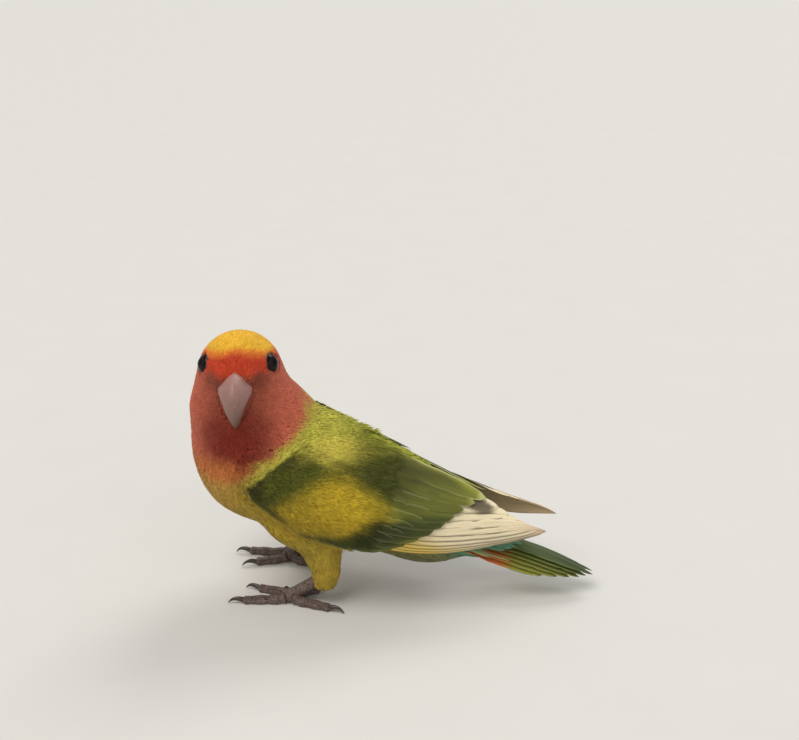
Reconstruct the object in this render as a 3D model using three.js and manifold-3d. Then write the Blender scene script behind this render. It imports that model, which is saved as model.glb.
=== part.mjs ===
// A peach faced lovebird at life size, standing on the floor with its head turned to its left.
// Millimetres, +Z up. While it is being built the bird heads along -Y with its left side at +X,
// and the middle of its feet is the origin. At the end the whole bird is set down with the
// middle of its bounding box over the origin and its toes on the floor.
import * as THREE from "three";
import { mergeVertices } from "three/addons/utils/BufferGeometryUtils.js";
import Module from "manifold-3d";

const wasm = await Module();
wasm.setup();

const V = (x, y, z) => new THREE.Vector3(x, y, z);
const rad = THREE.MathUtils.degToRad;
const { lerp, clamp, smoothstep } = THREE.MathUtils;

// Driving dimensions
const GAP = 0.3; // between pieces that touch
const HEAD_CENTRE = V(2, -25, 78.5);
const HEAD_YAW = 95; // degrees that the head is turned to the bird's left
const BODY_PITCH = 31; // degrees that the back slopes down to the tail
const FOOT_SPREAD = 14.5; // from the middle of the body to a foot
const STRIDE = 4.5; // that the right foot stands ahead of the left
const FAR_HAND_REACH = 0.04; // that the right wing's tip reaches past the left one, as a share

// Finishes
const finish = (color, roughness, metalness = 0) =>
  new THREE.MeshStandardMaterial({ color, roughness, metalness });
const PEACH = finish(0xc8553c, 0.85);
const LEAF_GREEN = finish(0x86a02c, 0.8);
const YELLOW = finish(0xd2b53c, 0.85);
const CREAM = finish(0xe6d3a6, 0.7);
const TAIL_GREEN = finish(0x6f9a3e, 0.75);
const BILL_HORN = finish(0xb59a94, 0.35);
const EYE_BLACK = finish(0x0c0908, 0.08);
const LID_WHITE = finish(0xd8cbb8, 0.6);
const SCALE_GREY = finish(0x75645a, 0.7);
const CLAW_HORN = finish(0x2b2420, 0.4);

// Solids

// A closed three.js geometry as a manifold solid.
function solidOf(geometry) {
  const bare = geometry.clone();
  bare.deleteAttribute("normal");
  bare.deleteAttribute("uv");
  const merged = mergeVertices(bare, 1e-4);
  return new wasm.Manifold(
    new wasm.Mesh({
      numProp: 3,
      vertProperties: merged.attributes.position.array,
      triVerts: new Uint32Array(merged.index.array),
    }),
  );
}

// The largest closed surface of a manifold solid, as a geometry.
function geometryOf(solid) {
  const largest = solid.decompose().reduce((a, b) => (b.volume() > a.volume() ? b : a));
  const mesh = largest.getMesh();
  const points = new Float32Array(mesh.numVert * 3);
  for (let i = 0; i < mesh.numVert; i++)
    points.set(mesh.vertProperties.subarray(i * mesh.numProp, i * mesh.numProp + 3), i * 3);
  const geometry = new THREE.BufferGeometry();
  geometry.setAttribute("position", new THREE.BufferAttribute(points, 3));
  geometry.setIndex(new THREE.BufferAttribute(mesh.triVerts, 1));
  geometry.computeVertexNormals();
  return geometry;
}

const joined = (solids) => wasm.Manifold.union(solids);

const bird = new THREE.Group();

// Names a piece and adds it to the bird.
function addPiece(name, solid, material) {
  const mesh = new THREE.Mesh(geometryOf(solid), material);
  mesh.name = name;
  bird.add(mesh);
  return mesh;
}

// A closed skin over rings of equally many points, capped flat at both ends.
function skinOver(rings) {
  const around = rings[0].length;
  const points = rings.flat();
  const faces = [];
  for (let i = 0; i + 1 < rings.length; i++)
    for (let j = 0; j < around; j++) {
      const a = i * around + j;
      const b = i * around + ((j + 1) % around);
      faces.push(a, b, a + around, b, b + around, a + around);
    }
  for (const [end, turn] of [[0, true], [rings.length - 1, false]]) {
    const middle = rings[end].reduce((sum, p) => sum.add(p), V(0, 0, 0)).divideScalar(around);
    points.push(middle);
    for (let j = 0; j < around; j++) {
      const a = end * around + j;
      const b = end * around + ((j + 1) % around);
      faces.push(points.length - 1, turn ? b : a, turn ? a : b);
    }
  }
  const geometry = new THREE.BufferGeometry();
  geometry.setAttribute(
    "position",
    new THREE.Float32BufferAttribute(points.flatMap((p) => [p.x, p.y, p.z]), 3),
  );
  geometry.setIndex(faces);
  const solid = solidOf(geometry);
  if (solid.volume() > 0) return solid;
  for (let i = 0; i < faces.length; i += 3) [faces[i], faces[i + 1]] = [faces[i + 1], faces[i]];
  geometry.setIndex(faces);
  return solidOf(geometry);
}

// A horn, toe or limb: round sections of given radii along a curve. radii(t) gives [across, deep].
function limb(curve, radii, { steps = 8, around = 8, floor = -Infinity, side = V(1, 0, 0) } = {}) {
  const rings = [];
  for (let i = 0; i <= steps; i++) {
    const t = i / steps;
    const middle = curve.getPoint(t);
    const along = curve.getTangent(t);
    const across = side.clone().addScaledVector(along, -side.dot(along)).normalize();
    const deep = V(0, 0, 0).crossVectors(along, across);
    const [wide, thick] = radii(t);
    rings.push(
      Array.from({ length: around }, (_, j) => {
        const turn = (2 * Math.PI * j) / around;
        const p = middle
          .clone()
          .addScaledVector(across, wide * Math.cos(turn))
          .addScaledVector(deep, thick * Math.sin(turn));
        p.z = Math.max(p.z, floor);
        return p;
      }),
    );
  }
  return skinOver(rings);
}

// The plumage as a smooth blend of rounded masses

// Signed distance, near enough, to an ellipsoid. radii are lateral, along and deep.
function mass(centre, radii, pitch = 0, yaw = 0) {
  const turn = new THREE.Quaternion().setFromEuler(new THREE.Euler(-rad(pitch), 0, rad(yaw), "ZYX"));
  const back = turn.clone().invert();
  const local = V(0, 0, 0);
  return (p) => {
    local.copy(p).sub(centre).applyQuaternion(back);
    const near = Math.hypot(local.x / radii.x, local.y / radii.y, local.z / radii.z);
    const slope = Math.hypot(
      local.x / radii.x ** 2,
      local.y / radii.y ** 2,
      local.z / radii.z ** 2,
    );
    return slope > 1e-9 ? (near * (near - 1)) / slope : -Math.min(radii.x, radii.y, radii.z);
  };
}

function blend(a, b, soft) {
  const h = clamp(0.5 + (0.5 * (b - a)) / soft, 0, 1);
  return lerp(b, a, h) - soft * h * (1 - h);
}

const TRUNK_SOFT = 9;
const HEAD_SOFT = 5;
const trunkMasses = [
  mass(V(0, -18, 47.5), V(21.5, 23.5, 21.5)), // breast and shoulders
  mass(V(0, 1, 38.5), V(20, 27, 20), BODY_PITCH), // belly and back
  mass(V(0, 27, 28), V(14, 27, 14.5), 27), // rump
];
const headMasses = [
  mass(V(0.5, -21.5, 60), V(18, 20, 19)), // neck and throat
  mass(V(5, -24.5, 68.5), V(15.5, 17, 13)), // cheeks
  mass(HEAD_CENTRE, V(14.2, 15.5, 14.4), 0, HEAD_YAW), // skull cap
];

const trunkField = (p) => trunkMasses.reduce((d, m) => blend(d, m(p), TRUNK_SOFT), 1e3);
const headField = (p) => headMasses.reduce((d, m) => blend(d, m(p), HEAD_SOFT), 1e3);
const plumage = (p) => blend(trunkField(p), headField(p), TRUNK_SOFT);

function fieldNormal(field, p, step = 0.25) {
  const part = (axis) => {
    const a = p.clone();
    const b = p.clone();
    a[axis] += step;
    b[axis] -= step;
    return field(a) - field(b);
  };
  return V(part("x"), part("y"), part("z")).normalize();
}

// The line that the rings of the plumage are threaded on, from the root of the tail to the crown.
const spine = new THREE.CatmullRomCurve3([
  V(0, 50, 18.5),
  V(0, 30, 26.5),
  V(0, 10, 36),
  V(0, -8, 44.5),
  V(0.5, -19, 56),
  V(1.5, -23.5, 68),
  V(2, -25, 80),
  V(2, -25, 92.85),
]);
const spineLength = spine.getLength();

const CROWN = 1;

// One ring of the plumage where the plane through the spine at t meets the surface.
function plumageRing(t, shift, grow, around) {
  const along = spine.getTangentAt(t);
  const middle = spine.getPointAt(t).addScaledVector(along, shift);
  const across = V(1, 0, 0).addScaledVector(along, -along.x).normalize();
  const deep = V(0, 0, 0).crossVectors(along, across);
  return Array.from({ length: around }, (_, j) => {
    const turn = (2 * Math.PI * j) / around;
    const out = across.clone().multiplyScalar(Math.cos(turn)).addScaledVector(deep, Math.sin(turn));
    let inside = 0;
    let outside = 0.5;
    const at = (r) => plumage(middle.clone().addScaledVector(out, r)) - grow;
    while (at(outside) < 0 && outside < 60) {
      inside = outside;
      outside += 0.5;
    }
    for (let k = 0; k < 12; k++) {
      const half = (inside + outside) / 2;
      if (at(half) < 0) inside = half;
      else outside = half;
    }
    return middle.clone().addScaledVector(out, inside);
  });
}

// The plumage between two places on the spine, 0 to 1, drawn in by half a gap at each cut.
function plumageSolid(from, to, { step = 5, grow = 0, around = 24, gap = GAP } = {}) {
  const count = Math.max(2, Math.round(((to - from) * spineLength) / step));
  const crowd = to === CROWN ? 1.7 : 1; // rings crowd together towards the crown
  const rings = [];
  for (let i = 0; i <= count; i++) {
    const shift = i === 0 ? gap / 2 : i === count ? -gap / 2 : 0;
    rings.push(plumageRing(lerp(to, from, (1 - i / count) ** crowd), shift, grow, around));
  }
  return skinOver(rings);
}

// The masses that the plumage is parted into, from the root of the tail up to the crown.
const FLESH = {
  rump: { from: 0, to: 0.24, detail: {}, material: LEAF_GREEN },
  torso: { from: 0.24, to: 0.66, detail: {}, material: YELLOW },
  neck: { from: 0.66, to: 0.775, detail: {}, material: PEACH },
  head: { from: 0.775, to: CROWN, detail: { step: 2.9, around: 26 }, material: PEACH },
};
const flesh = ({ from, to, detail }, sizes) => plumageSolid(from, to, { ...detail, ...sizes });

// What lies on the plumage is cut clear of it with this.
const clearance = joined(Object.values(FLESH).map((part) => flesh(part, { grow: GAP + 0.05, gap: -GAP })));

// The head's own frame: x forward along the bill, y to the head's left, z up

const headTurn = new THREE.Matrix4()
  .makeRotationZ(rad(HEAD_YAW - 90))
  .setPosition(HEAD_CENTRE);
const inHead = (forward, left, up) => V(forward, left, up).applyMatrix4(headTurn);
const headSide = V(0, 1, 0).transformDirection(headTurn);

function headCurve(points) {
  return new THREE.CatmullRomCurve3(points.map(([forward, up]) => inHead(forward, 0, up)));
}

// Bill

const BILL_HALF_WIDTH = 5.6;
const BILL_HALF_DEPTH = 4.4;
const BLUNT = 0.25; // radius at the very tip
const upperBillLine = headCurve([[8.5, 1.2], [13.4, 0.5], [17.4, -1.7], [19.3, -5.4], [18.9, -9.6], [17.8, -12.5]]);
const BILL_WIDEST = 0.35; // along its line
const upperBillRadii = (grow) => (t) => {
  const root = lerp(0.92, 1, clamp(t / BILL_WIDEST, 0, 1));
  const taper = t < BILL_WIDEST ? root : ((1 - t) / (1 - BILL_WIDEST)) ** 0.75;
  return [BILL_HALF_WIDTH * taper + BLUNT + grow, BILL_HALF_DEPTH * taper ** 0.9 + BLUNT + grow];
};
const upperBill = (grow) =>
  limb(upperBillLine, upperBillRadii(grow), { steps: 12, around: 16, side: headSide });

const lowerBillLine = headCurve([[7.5, -6.2], [12, -7.2], [15, -8.4], [16.4, -9]]);
const lowerBillRadii = (grow) => (t) => {
  const taper = Math.sqrt(1 - 0.93 * t * t);
  return [4.7 * taper + grow, 3.1 * taper + grow];
};
const lowerBill = (grow) =>
  limb(lowerBillLine, lowerBillRadii(grow), { steps: 6, around: 12, side: headSide });

// The cere is a fleshy band over the root of the bill, with a nostril sunk in each side.
const CERE_THICKNESS = 0.55;
const CERE_FROM = 0.04; // along the line of the bill
const CERE_TO = 0.27;
const CERE_BOTTOM = 2.6; // over the middle of the head
const NOSTRIL_RADIUS = 0.5;
const NOSTRIL_ASIDE = 2.1;

function cereBand(grow) {
  const radii = upperBillRadii(GAP + CERE_THICKNESS + grow);
  const stretch = new THREE.CatmullRomCurve3(
    [CERE_FROM - 0.03 * grow, (CERE_FROM + CERE_TO) / 2, CERE_TO + 0.03 * grow].map((t) => upperBillLine.getPoint(t)),
  );
  return limb(stretch, (t) => radii(lerp(CERE_FROM, CERE_TO, t)), { steps: 3, around: 14, side: headSide });
}

function cere() {
  const along = (CERE_FROM + CERE_TO) / 2;
  const [wide, deep] = upperBillRadii(GAP + CERE_THICKNESS)(along);
  const nostrils = [-1, 1].map((side) => {
    const local = upperBillLine.getPoint(along).applyMatrix4(headTurn.clone().invert());
    const rise = deep * Math.sqrt(1 - (NOSTRIL_ASIDE / wide) ** 2);
    const at = inHead(local.x + 0.1 * rise, side * NOSTRIL_ASIDE, local.z + rise);
    return solidOf(new THREE.OctahedronGeometry(NOSTRIL_RADIUS, 1).translate(at.x, at.y, at.z));
  });
  const below = new THREE.BoxGeometry(60, 60, 40);
  below.translate(HEAD_CENTRE.x, HEAD_CENTRE.y, HEAD_CENTRE.z + CERE_BOTTOM - 20);
  return cereBand(0).subtract(upperBill(GAP)).subtract(joined([...nostrils, solidOf(below)]));
}

// Eyes and their lids

const EYE_RADIUS = 3.7;
const EYE_OPENING = 3.15;
const EYE_ANGLE = 73; // degrees from the line of the bill to where an eye looks
const LID_WIDTH = 0.7;
const EYE_SINK = 0.6; // that the plane of the lids lies under the plumage

// Where an eye sits: its outward direction and the place where the lids' plane meets the plumage.
function eyeSeat(side) {
  const gaze = V(Math.cos(rad(EYE_ANGLE)), side * Math.sin(rad(EYE_ANGLE)), 0.05);
  gaze.normalize().transformDirection(headTurn);
  const start = inHead(1.6, 0, 4.5);
  let reach = 5;
  while (plumage(start.clone().addScaledVector(gaze, reach)) < 0) reach += 0.05;
  const seat = start.addScaledVector(gaze, reach - EYE_SINK);
  const out = gaze.add(fieldNormal(plumage, seat)).normalize();
  return { out, seat };
}

function lathed(profile, { out, seat }, segments = 16) {
  const geometry = new THREE.LatheGeometry(profile.map(([r, h]) => new THREE.Vector2(r, h)), segments);
  geometry.applyQuaternion(new THREE.Quaternion().setFromUnitVectors(V(0, 1, 0), out));
  geometry.translate(seat.x, seat.y, seat.z);
  const solid = solidOf(geometry);
  return solid.volume() > 0 ? solid : solidOf(flipped(geometry));
}

function flipped(geometry) {
  const turned = geometry.clone();
  const index = turned.index.array;
  for (let i = 0; i < index.length; i += 3) [index[i], index[i + 1]] = [index[i + 1], index[i]];
  return turned;
}

function eyeBall(place) {
  const sink = Math.sqrt(EYE_RADIUS ** 2 - EYE_OPENING ** 2);
  const steps = 7;
  const arc = Array.from({ length: steps + 1 }, (_, i) => {
    const turn = lerp(-Math.PI / 2, Math.PI / 2, i / steps);
    const r = i === 0 || i === steps ? 0 : EYE_RADIUS * Math.cos(turn);
    return [r, EYE_RADIUS * Math.sin(turn) - sink + 0.3];
  });
  return lathed(arc, place);
}

// A raised ring with a rounded rim: the two lids, which meet at the corners of the eye.
function lids(place) {
  const inner = EYE_OPENING + GAP + 0.05;
  const outer = inner + LID_WIDTH;
  const rim = lerp(inner, outer, 0.45);
  return lathed([[inner + 0.2, -1.6], [outer, -1.6], [outer, 0.1], [rim, 0.6], [inner, 0.3], [inner + 0.2, -1.6]], place);
}

function eyeSocket(place) {
  const outer = EYE_OPENING + LID_WIDTH + 2 * GAP + 0.05;
  return lathed([[0, -6.6], [outer - 1, -6.6], [outer, -1.9], [outer, 4], [0, 4]], place);
}

const seats = { left: eyeSeat(1), right: eyeSeat(-1) };

// Flight feathers and coverts are vanes: thin ribbons with a rounded tip

// A ribbon between a top and a bottom row of points, its faces split alike on both sides.
function ribbon(sections) {
  const wide = sections[0].top.length;
  const rows = sections.flatMap((s) => [...s.top, ...s.bottom]);
  const topAt = (i, j) => i * 2 * wide + j;
  const bottomAt = (i, j) => i * 2 * wide + wide + j;
  const faces = [];
  const quad = (a, b, c, d) => faces.push(a, b, c, a, c, d);
  for (let i = 0; i + 1 < sections.length; i++) {
    for (let j = 0; j + 1 < wide; j++) {
      quad(topAt(i, j), topAt(i + 1, j), topAt(i + 1, j + 1), topAt(i, j + 1));
      faces.push(bottomAt(i, j), bottomAt(i + 1, j + 1), bottomAt(i + 1, j));
      faces.push(bottomAt(i, j), bottomAt(i, j + 1), bottomAt(i + 1, j + 1));
    }
    quad(topAt(i, 0), bottomAt(i, 0), bottomAt(i + 1, 0), topAt(i + 1, 0));
    quad(topAt(i, wide - 1), topAt(i + 1, wide - 1), bottomAt(i + 1, wide - 1), bottomAt(i, wide - 1));
  }
  const last = sections.length - 1;
  for (let j = 0; j + 1 < wide; j++) {
    quad(topAt(0, j), topAt(0, j + 1), bottomAt(0, j + 1), bottomAt(0, j));
    quad(topAt(last, j), bottomAt(last, j), bottomAt(last, j + 1), topAt(last, j + 1));
  }
  const geometry = new THREE.BufferGeometry();
  geometry.setAttribute(
    "position",
    new THREE.Float32BufferAttribute(rows.flatMap((p) => [p.x, p.y, p.z]), 3),
  );
  geometry.setIndex(faces);
  const solid = solidOf(geometry);
  return solid.volume() > 0 ? solid : solidOf(flipped(geometry));
}

// How wide a feather is along its length, 1 at its widest: narrow at the quill, round at the tip.
function vaneWidth(t, round) {
  const quill = lerp(0.62, 1, smoothstep(t, 0, 0.35));
  const tip = t > round ? Math.sqrt(Math.max(0, 1 - ((t - round) / (1 - round)) ** 2)) : 1;
  return Math.max(quill * tip, 0.16);
}

// A feather. place(t) gives its middle, its outward side and the way it runs across.
function vane(place, { halfWidth, thick = 0.6, steps = 5, strips = 2, round = 0.72, tilt = 0, bow = 0.25 }) {
  const sections = [];
  for (let i = 0; i <= steps; i++) {
    const t = i === steps ? 1 : (i / steps) ** 0.85;
    const { middle, out, across } = place(t);
    const wide = halfWidth * vaneWidth(t, round);
    const deep = (thick / 2) * (t > 0.9 ? 0.7 : 1);
    const top = [];
    const bottom = [];
    for (let j = 0; j <= strips; j++) {
      const side = lerp(-1, 1, j / strips);
      const lift = tilt * side - bow * side * side;
      const p = middle.clone().addScaledVector(across, wide * side).addScaledVector(out, lift);
      top.push(p.clone().addScaledVector(out, deep));
      bottom.push(p.clone().addScaledVector(out, -deep));
    }
    sections.push({ top, bottom });
  }
  return ribbon(sections);
}

// The folded left wing lies on a sheet: s runs back from the shoulder to the tip of the wing,
// and v down from its edge over the back, 0, to its lower edge, 1.

const rail = (points) => new THREE.CatmullRomCurve3(points.map((p) => V(...p)));
const backRail = rail([[13, -15, 55], [8, 0, 60.5], [2.4, 18, 56.3], [1.2, 38, 45.8], [1.2, 58, 35], [2, 80, 27.2]]);
const flankRail = rail([[20, -19, 46.5], [23, -2, 44], [21, 19, 37.5], [16, 40, 31.5], [10, 60, 28], [5, 80, 25.8]]);
const lowerRail = rail([[19, -16, 39], [21, -3, 29.5], [19, 18, 23], [15, 40, 19.5], [10, 60, 21], [5.5, 79, 25]]);
const UNDER_WING = 0.4; // from the plumage to the inner face of the wing

function bareSheet(s, v) {
  const k = clamp(s, 0, 1);
  const top = backRail.getPoint(k);
  const low = lowerRail.getPoint(k);
  const bulge = flankRail.getPoint(k).multiplyScalar(2).addScaledVector(top, -0.5).addScaledVector(low, -0.5);
  const p = top
    .multiplyScalar((1 - v) ** 2)
    .addScaledVector(bulge, 2 * v * (1 - v))
    .addScaledVector(low, v * v);
  if (s > 1) p.addScaledVector(flankRail.getTangent(1), (s - 1) * flankRail.getLength());
  return p;
}

// The sheet, held clear of the plumage.
function sheet(s, v) {
  const p = bareSheet(s, v);
  for (let k = 0; k < 3; k++) {
    const short = UNDER_WING - plumage(p);
    if (short > -2) p.addScaledVector(fieldNormal(plumage, p), Math.log1p(Math.exp(short * 2.5)) / 2.5);
  }
  return p;
}

function sheetFrame(s, v) {
  const step = 0.02;
  const along = sheet(s + step, v).sub(sheet(s - step, v)).normalize();
  const down = sheet(s, v + step).sub(sheet(s, v - step)).normalize();
  return { at: sheet(s, v), along, down, out: V(0, 0, 0).crossVectors(down, along).normalize() };
}

// A feather laid on the sheet from its root to its tip, each [s, v, height over the sheet].
function wingVane(root, tip, sizes) {
  const at = (t) => {
    const [s, v, height] = root.map((value, i) => lerp(value, tip[i], t));
    const frame = sheetFrame(s, v);
    return { point: frame.at.addScaledVector(frame.out, height), out: frame.out };
  };
  return vane((t) => {
    const { point, out } = at(t);
    const along = at(t + 0.02).point.sub(at(t - 0.02).point).normalize();
    return { middle: point, out, across: V(0, 0, 0).crossVectors(along, out).normalize() };
  }, sizes);
}

// A plate over part of the sheet. edges(s) gives its v limits, depths(s, v) its inner and outer height.
function wingPlate(from, to, edges, depths, { steps = 9, strips = 6 } = {}) {
  const sections = [];
  for (let i = 0; i <= steps; i++) {
    const s = lerp(from, to, i / steps);
    const [high, low] = edges(i / steps);
    const top = [];
    const bottom = [];
    for (let j = 0; j <= strips; j++) {
      const v = lerp(high, low, j / strips);
      const frame = sheetFrame(s, v);
      const [inner, outer] = depths(i / steps, j / strips);
      top.push(frame.at.clone().addScaledVector(frame.out, outer));
      bottom.push(frame.at.clone().addScaledVector(frame.out, inner));
    }
    sections.push({ top, bottom });
  }
  return ribbon(sections);
}

const PRIMARIES = 7;
const SECONDARIES = 7;
const GREATER_COVERTS = 6;
const MEDIAN_COVERTS = 4;
const SCAPULARS = 3;

// The hand: a thin plate along the lower edge of the wing, and the primaries, outermost first.
// reach lengthens it, as a share of the wing.
function wingHand(reach) {
  const plate = wingPlate(
    0.27,
    0.6,
    (i) => [lerp(0.62, 0.6, i), lerp(0.97, 0.86, i)],
    (i, j) => [0, (1.4 - 0.5 * i) * lerp(0.75, 1, Math.sin(Math.PI * j))],
    { steps: 4, strips: 3 },
  );
  const feathers = Array.from({ length: PRIMARIES }, (_, i) => {
    const k = i / (PRIMARIES - 1);
    const root = [0.3 + 0.02 * k, lerp(0.89, 0.6, k), lerp(0.45, 1, k)];
    const tipAlong = i === 0 ? 0.92 : lerp(0.985, 0.78, (k - 1 / (PRIMARIES - 1)) ** 1.2);
    const tip = [tipAlong + reach, lerp(0.78, 0.34, k), lerp(0.4, 1.1, k)];
    return wingVane(root, tip, { halfWidth: lerp(3.4, 4.4, k), thick: 0.55, steps: 5, strips: 1, tilt: 0.2, bow: 0 });
  });
  return joined([plate, ...feathers]);
}

// The arm: the padded shoulder, then the secondaries, the coverts over them and the scapulars.
function wingArm() {
  const shoulder = wingPlate(
    -0.02,
    0.56,
    (i) => {
      const open = Math.sqrt(1 - (1 - clamp(i / 0.22, 0, 1)) ** 2);
      const shut = Math.sqrt(1 - clamp((i - 0.55) / 0.5, 0, 1) ** 2);
      return [0.5 - 0.44 * lerp(0.25, 1, open) * shut, 0.5 + 0.42 * lerp(0.25, 1, open) * lerp(0.2, 1, shut)];
    },
    (i, j) => {
      const crown = Math.sin(Math.PI * clamp(j, 0.06, 0.94)) ** 0.6;
      const front = lerp(0.25, 1, smoothstep(i, 0, 0.2));
      const inner = i > 0.42 ? 2.3 : 0;
      return [inner, Math.max(inner + 0.7, lerp(3.6, 2.6, i) * crown * front + 0.5)];
    },
    { steps: 8, strips: 4 },
  );
  const secondaries = Array.from({ length: SECONDARIES }, (_, i) => {
    const k = i / (SECONDARIES - 1);
    const root = [0.26, lerp(0.8, 0.14, k), 2.6];
    const tip = [lerp(0.49, 0.77, k), lerp(0.86, 0.12, k ** 0.9), lerp(2.5, 2.7, k)];
    return wingVane(root, tip, { halfWidth: 4.8, thick: 0.6, steps: 4, strips: 1, round: 0.62, tilt: 0.3, bow: 0 });
  });
  const greaterCoverts = Array.from({ length: GREATER_COVERTS }, (_, i) => {
    const k = i / (GREATER_COVERTS - 1);
    const root = [0.18, lerp(0.8, 0.16, k), 3.1];
    const tip = [lerp(0.35, 0.54, k), lerp(0.85, 0.16, k), 3.3];
    return wingVane(root, tip, { halfWidth: 4.6, thick: 0.7, steps: 3, strips: 1, round: 0.5, tilt: 0.25, bow: 0 });
  });
  const medianCoverts = Array.from({ length: MEDIAN_COVERTS }, (_, i) => {
    const k = i / (MEDIAN_COVERTS - 1);
    const root = [0.08, lerp(0.76, 0.22, k), 3.4];
    const tip = [lerp(0.23, 0.37, k), lerp(0.82, 0.18, k), 3.9];
    return wingVane(root, tip, { halfWidth: 5, thick: 0.8, steps: 3, strips: 1, round: 0.45, tilt: 0.25, bow: 0 });
  });
  const scapulars = Array.from({ length: SCAPULARS }, (_, i) => {
    const k = i / (SCAPULARS - 1);
    const root = [lerp(0.08, 0.3, k), 0.1, 2];
    const tip = [lerp(0.3, 0.56, k), 0.06, 2.8];
    return wingVane(root, tip, { halfWidth: 4.2, thick: 0.8, steps: 3, strips: 1, round: 0.5, tilt: -0.2, bow: 0.1 });
  });
  return joined([shoulder, ...secondaries, ...greaterCoverts, ...medianCoverts, ...scapulars]);
}

// Everything on the far side of a wall on the bird's middle plane, which keeps the two wings apart.
const middleWall = solidOf(new THREE.BoxGeometry(100, 300, 200).translate(-50 + GAP / 2, 0, 50));

// Tail: a fleshy root, twelve feathers in a shallow roof, and the coverts over and under it

const TAIL_PAIRS = 6;
const TAIL_ROOT = V(0, 47, 20.5);
const TAIL_TIP = V(0, 95.5, 5.2);
const TAIL_SAG = 2.4; // that the tail bows up between its ends
const TAIL_ROOF = 0.03; // how its sides slope down, in mm for each mm squared off the middle
const TAIL_COVERTS = 3;

// A place on the tail: forward share t of its length, x off its middle and height over its middle.
function onTail(t, x, height) {
  const sag = TAIL_SAG * Math.sin(Math.PI * clamp(t, 0, 1));
  const roof = TAIL_ROOF * x * x;
  return V(x, lerp(TAIL_ROOT.y, TAIL_TIP.y, t), lerp(TAIL_ROOT.z, TAIL_TIP.z, t) + sag - roof + height);
}

// A tail feather or covert from one place on the tail to another.
function tailVane(root, tip, sizes) {
  const at = (t) => onTail(...root.map((value, i) => lerp(value, tip[i], t)));
  return vane((t) => {
    const middle = at(t);
    const along = at(t + 0.02).sub(at(t - 0.02)).normalize();
    const roofSlope = V(1, 0, -2 * TAIL_ROOF * middle.x).normalize();
    const out = V(0, 0, 0).crossVectors(roofSlope, along).normalize();
    return { middle, out: out.z < 0 ? out.negate() : out, across: roofSlope };
  }, sizes);
}

function tail() {
  const core = limb(
    rail([[0, 46.5, 19.5], [0, 54, 17.6], [0, 66, 15]]),
    (t) => [lerp(9.5, 4.5, t), lerp(8.5, 1.6, t)],
    { steps: 3, around: 10 },
  );
  const feathers = [];
  for (let pair = 0; pair < TAIL_PAIRS; pair++)
    for (const side of [-1, 1]) {
      const k = pair / (TAIL_PAIRS - 1);
      const height = lerp(2, -2.4, k);
      feathers.push(
        tailVane([0.12, side * lerp(1, 3.6, k), height], [lerp(1, 0.83, k), side * lerp(1.4, 6.6, k), height], {
          halfWidth: 3.5,
          thick: 0.55,
          steps: 4,
          strips: 1,
          round: 0.7,
          bow: 0,
        }),
      );
    }
  for (const [reach, height] of [[0.42, 5], [0.5, -5]])
    for (let i = 0; i < TAIL_COVERTS; i++) {
      const x = lerp(-3.6, 3.6, i / (TAIL_COVERTS - 1));
      const short = 0.09 * Math.abs(x / 3.6);
      feathers.push(
        tailVane([0.02, x * 0.8, height], [reach - short, x, height * 0.4], {
          halfWidth: 4.2,
          thick: 0.9,
          steps: 3,
          strips: 1,
          round: 0.4,
          bow: 0,
        }),
      );
    }
  return joined([core, ...feathers]);
}

// Legs and feet, made for the left side. stride is how far ahead of the left foot a foot stands.

const HUB = V(FOOT_SPREAD, -8.5, 2.2); // where the toes of the left foot meet
const ANKLE = V(FOOT_SPREAD + 2, 5.5, 12.5);
const THIGH_LINE = [[12, 2, 25.5], [13.3, 4, 19.5], [15.3, 6, 13], [16, 4.8, 6]];
const THIGH_RADII = [8, 7, 5.6, 3.9];
const SHANK_RADIUS = 1.9;
const HUB_RADIUS = 2.7;
const TOE_RADIUS = 1.6;
const TOES = {
  // length, degrees outwards from straight ahead, and how far to the side of the hub it grows
  inner_front: { length: 12.5, angle: -17, beside: -1.7 },
  outer_front: { length: 16, angle: 5, beside: 1.7 },
  inner_back: { length: 10, angle: -155, beside: -1.7 },
  outer_back: { length: 15, angle: 163, beside: 1.7 },
};
const TOE_ROOT = 1.6; // from beside the hub's middle to where a toe starts
const CLAW_LENGTH = 5.6;
const FLAT = 0.35; // how deep the underside of a toe is flattened

// The feathered thigh, whose trouser hangs close over the toes.
function thigh(stride) {
  const line = rail(THIGH_LINE.map(([x, y, z], i) => [x, y - (stride * i) / THIGH_LINE.length, z]));
  const last = THIGH_RADII.length - 1;
  return limb(
    line,
    (t) => {
      const k = Math.min(Math.floor(t * last), last - 1);
      const r = lerp(THIGH_RADII[k], THIGH_RADII[k + 1], smoothstep(t * last - k, 0, 1));
      return [r, r * 1.08];
    },
    { steps: 6, around: 12 },
  );
}

// The bare shank down from the ankle, and the hub that the toes spread from.
function shank(stride, grow) {
  const hub = HUB.clone().add(V(0, -stride, 0));
  const ankle = ANKLE.clone().add(V(0, -stride / 2, 0));
  const bone = limb(
    new THREE.CatmullRomCurve3([ankle, ankle.clone().lerp(hub, 0.55), hub]),
    (t) => [lerp(SHANK_RADIUS, 2.2, t) + grow, lerp(SHANK_RADIUS, 2.1, t) + grow],
    { steps: 4, around: 8 },
  );
  const pad = new THREE.SphereGeometry(HUB_RADIUS + grow, 10, 6);
  pad.scale(1.1, 1.15, 0.9).translate(hub.x, hub.y, hub.z);
  const foot = joined([bone, solidOf(pad)]);
  const ground = new THREE.BoxGeometry(80, 80, 20).translate(hub.x, hub.y, -10);
  return grow > 0 ? foot : foot.subtract(solidOf(ground));
}

// A point on a toe's line, so far from its root, at a height.
function onToe({ angle, beside }, stride, reach, height) {
  const turn = rad(angle);
  return V(
    HUB.x + beside + reach * Math.sin(turn),
    HUB.y - stride - reach * Math.cos(turn),
    height,
  );
}

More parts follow.
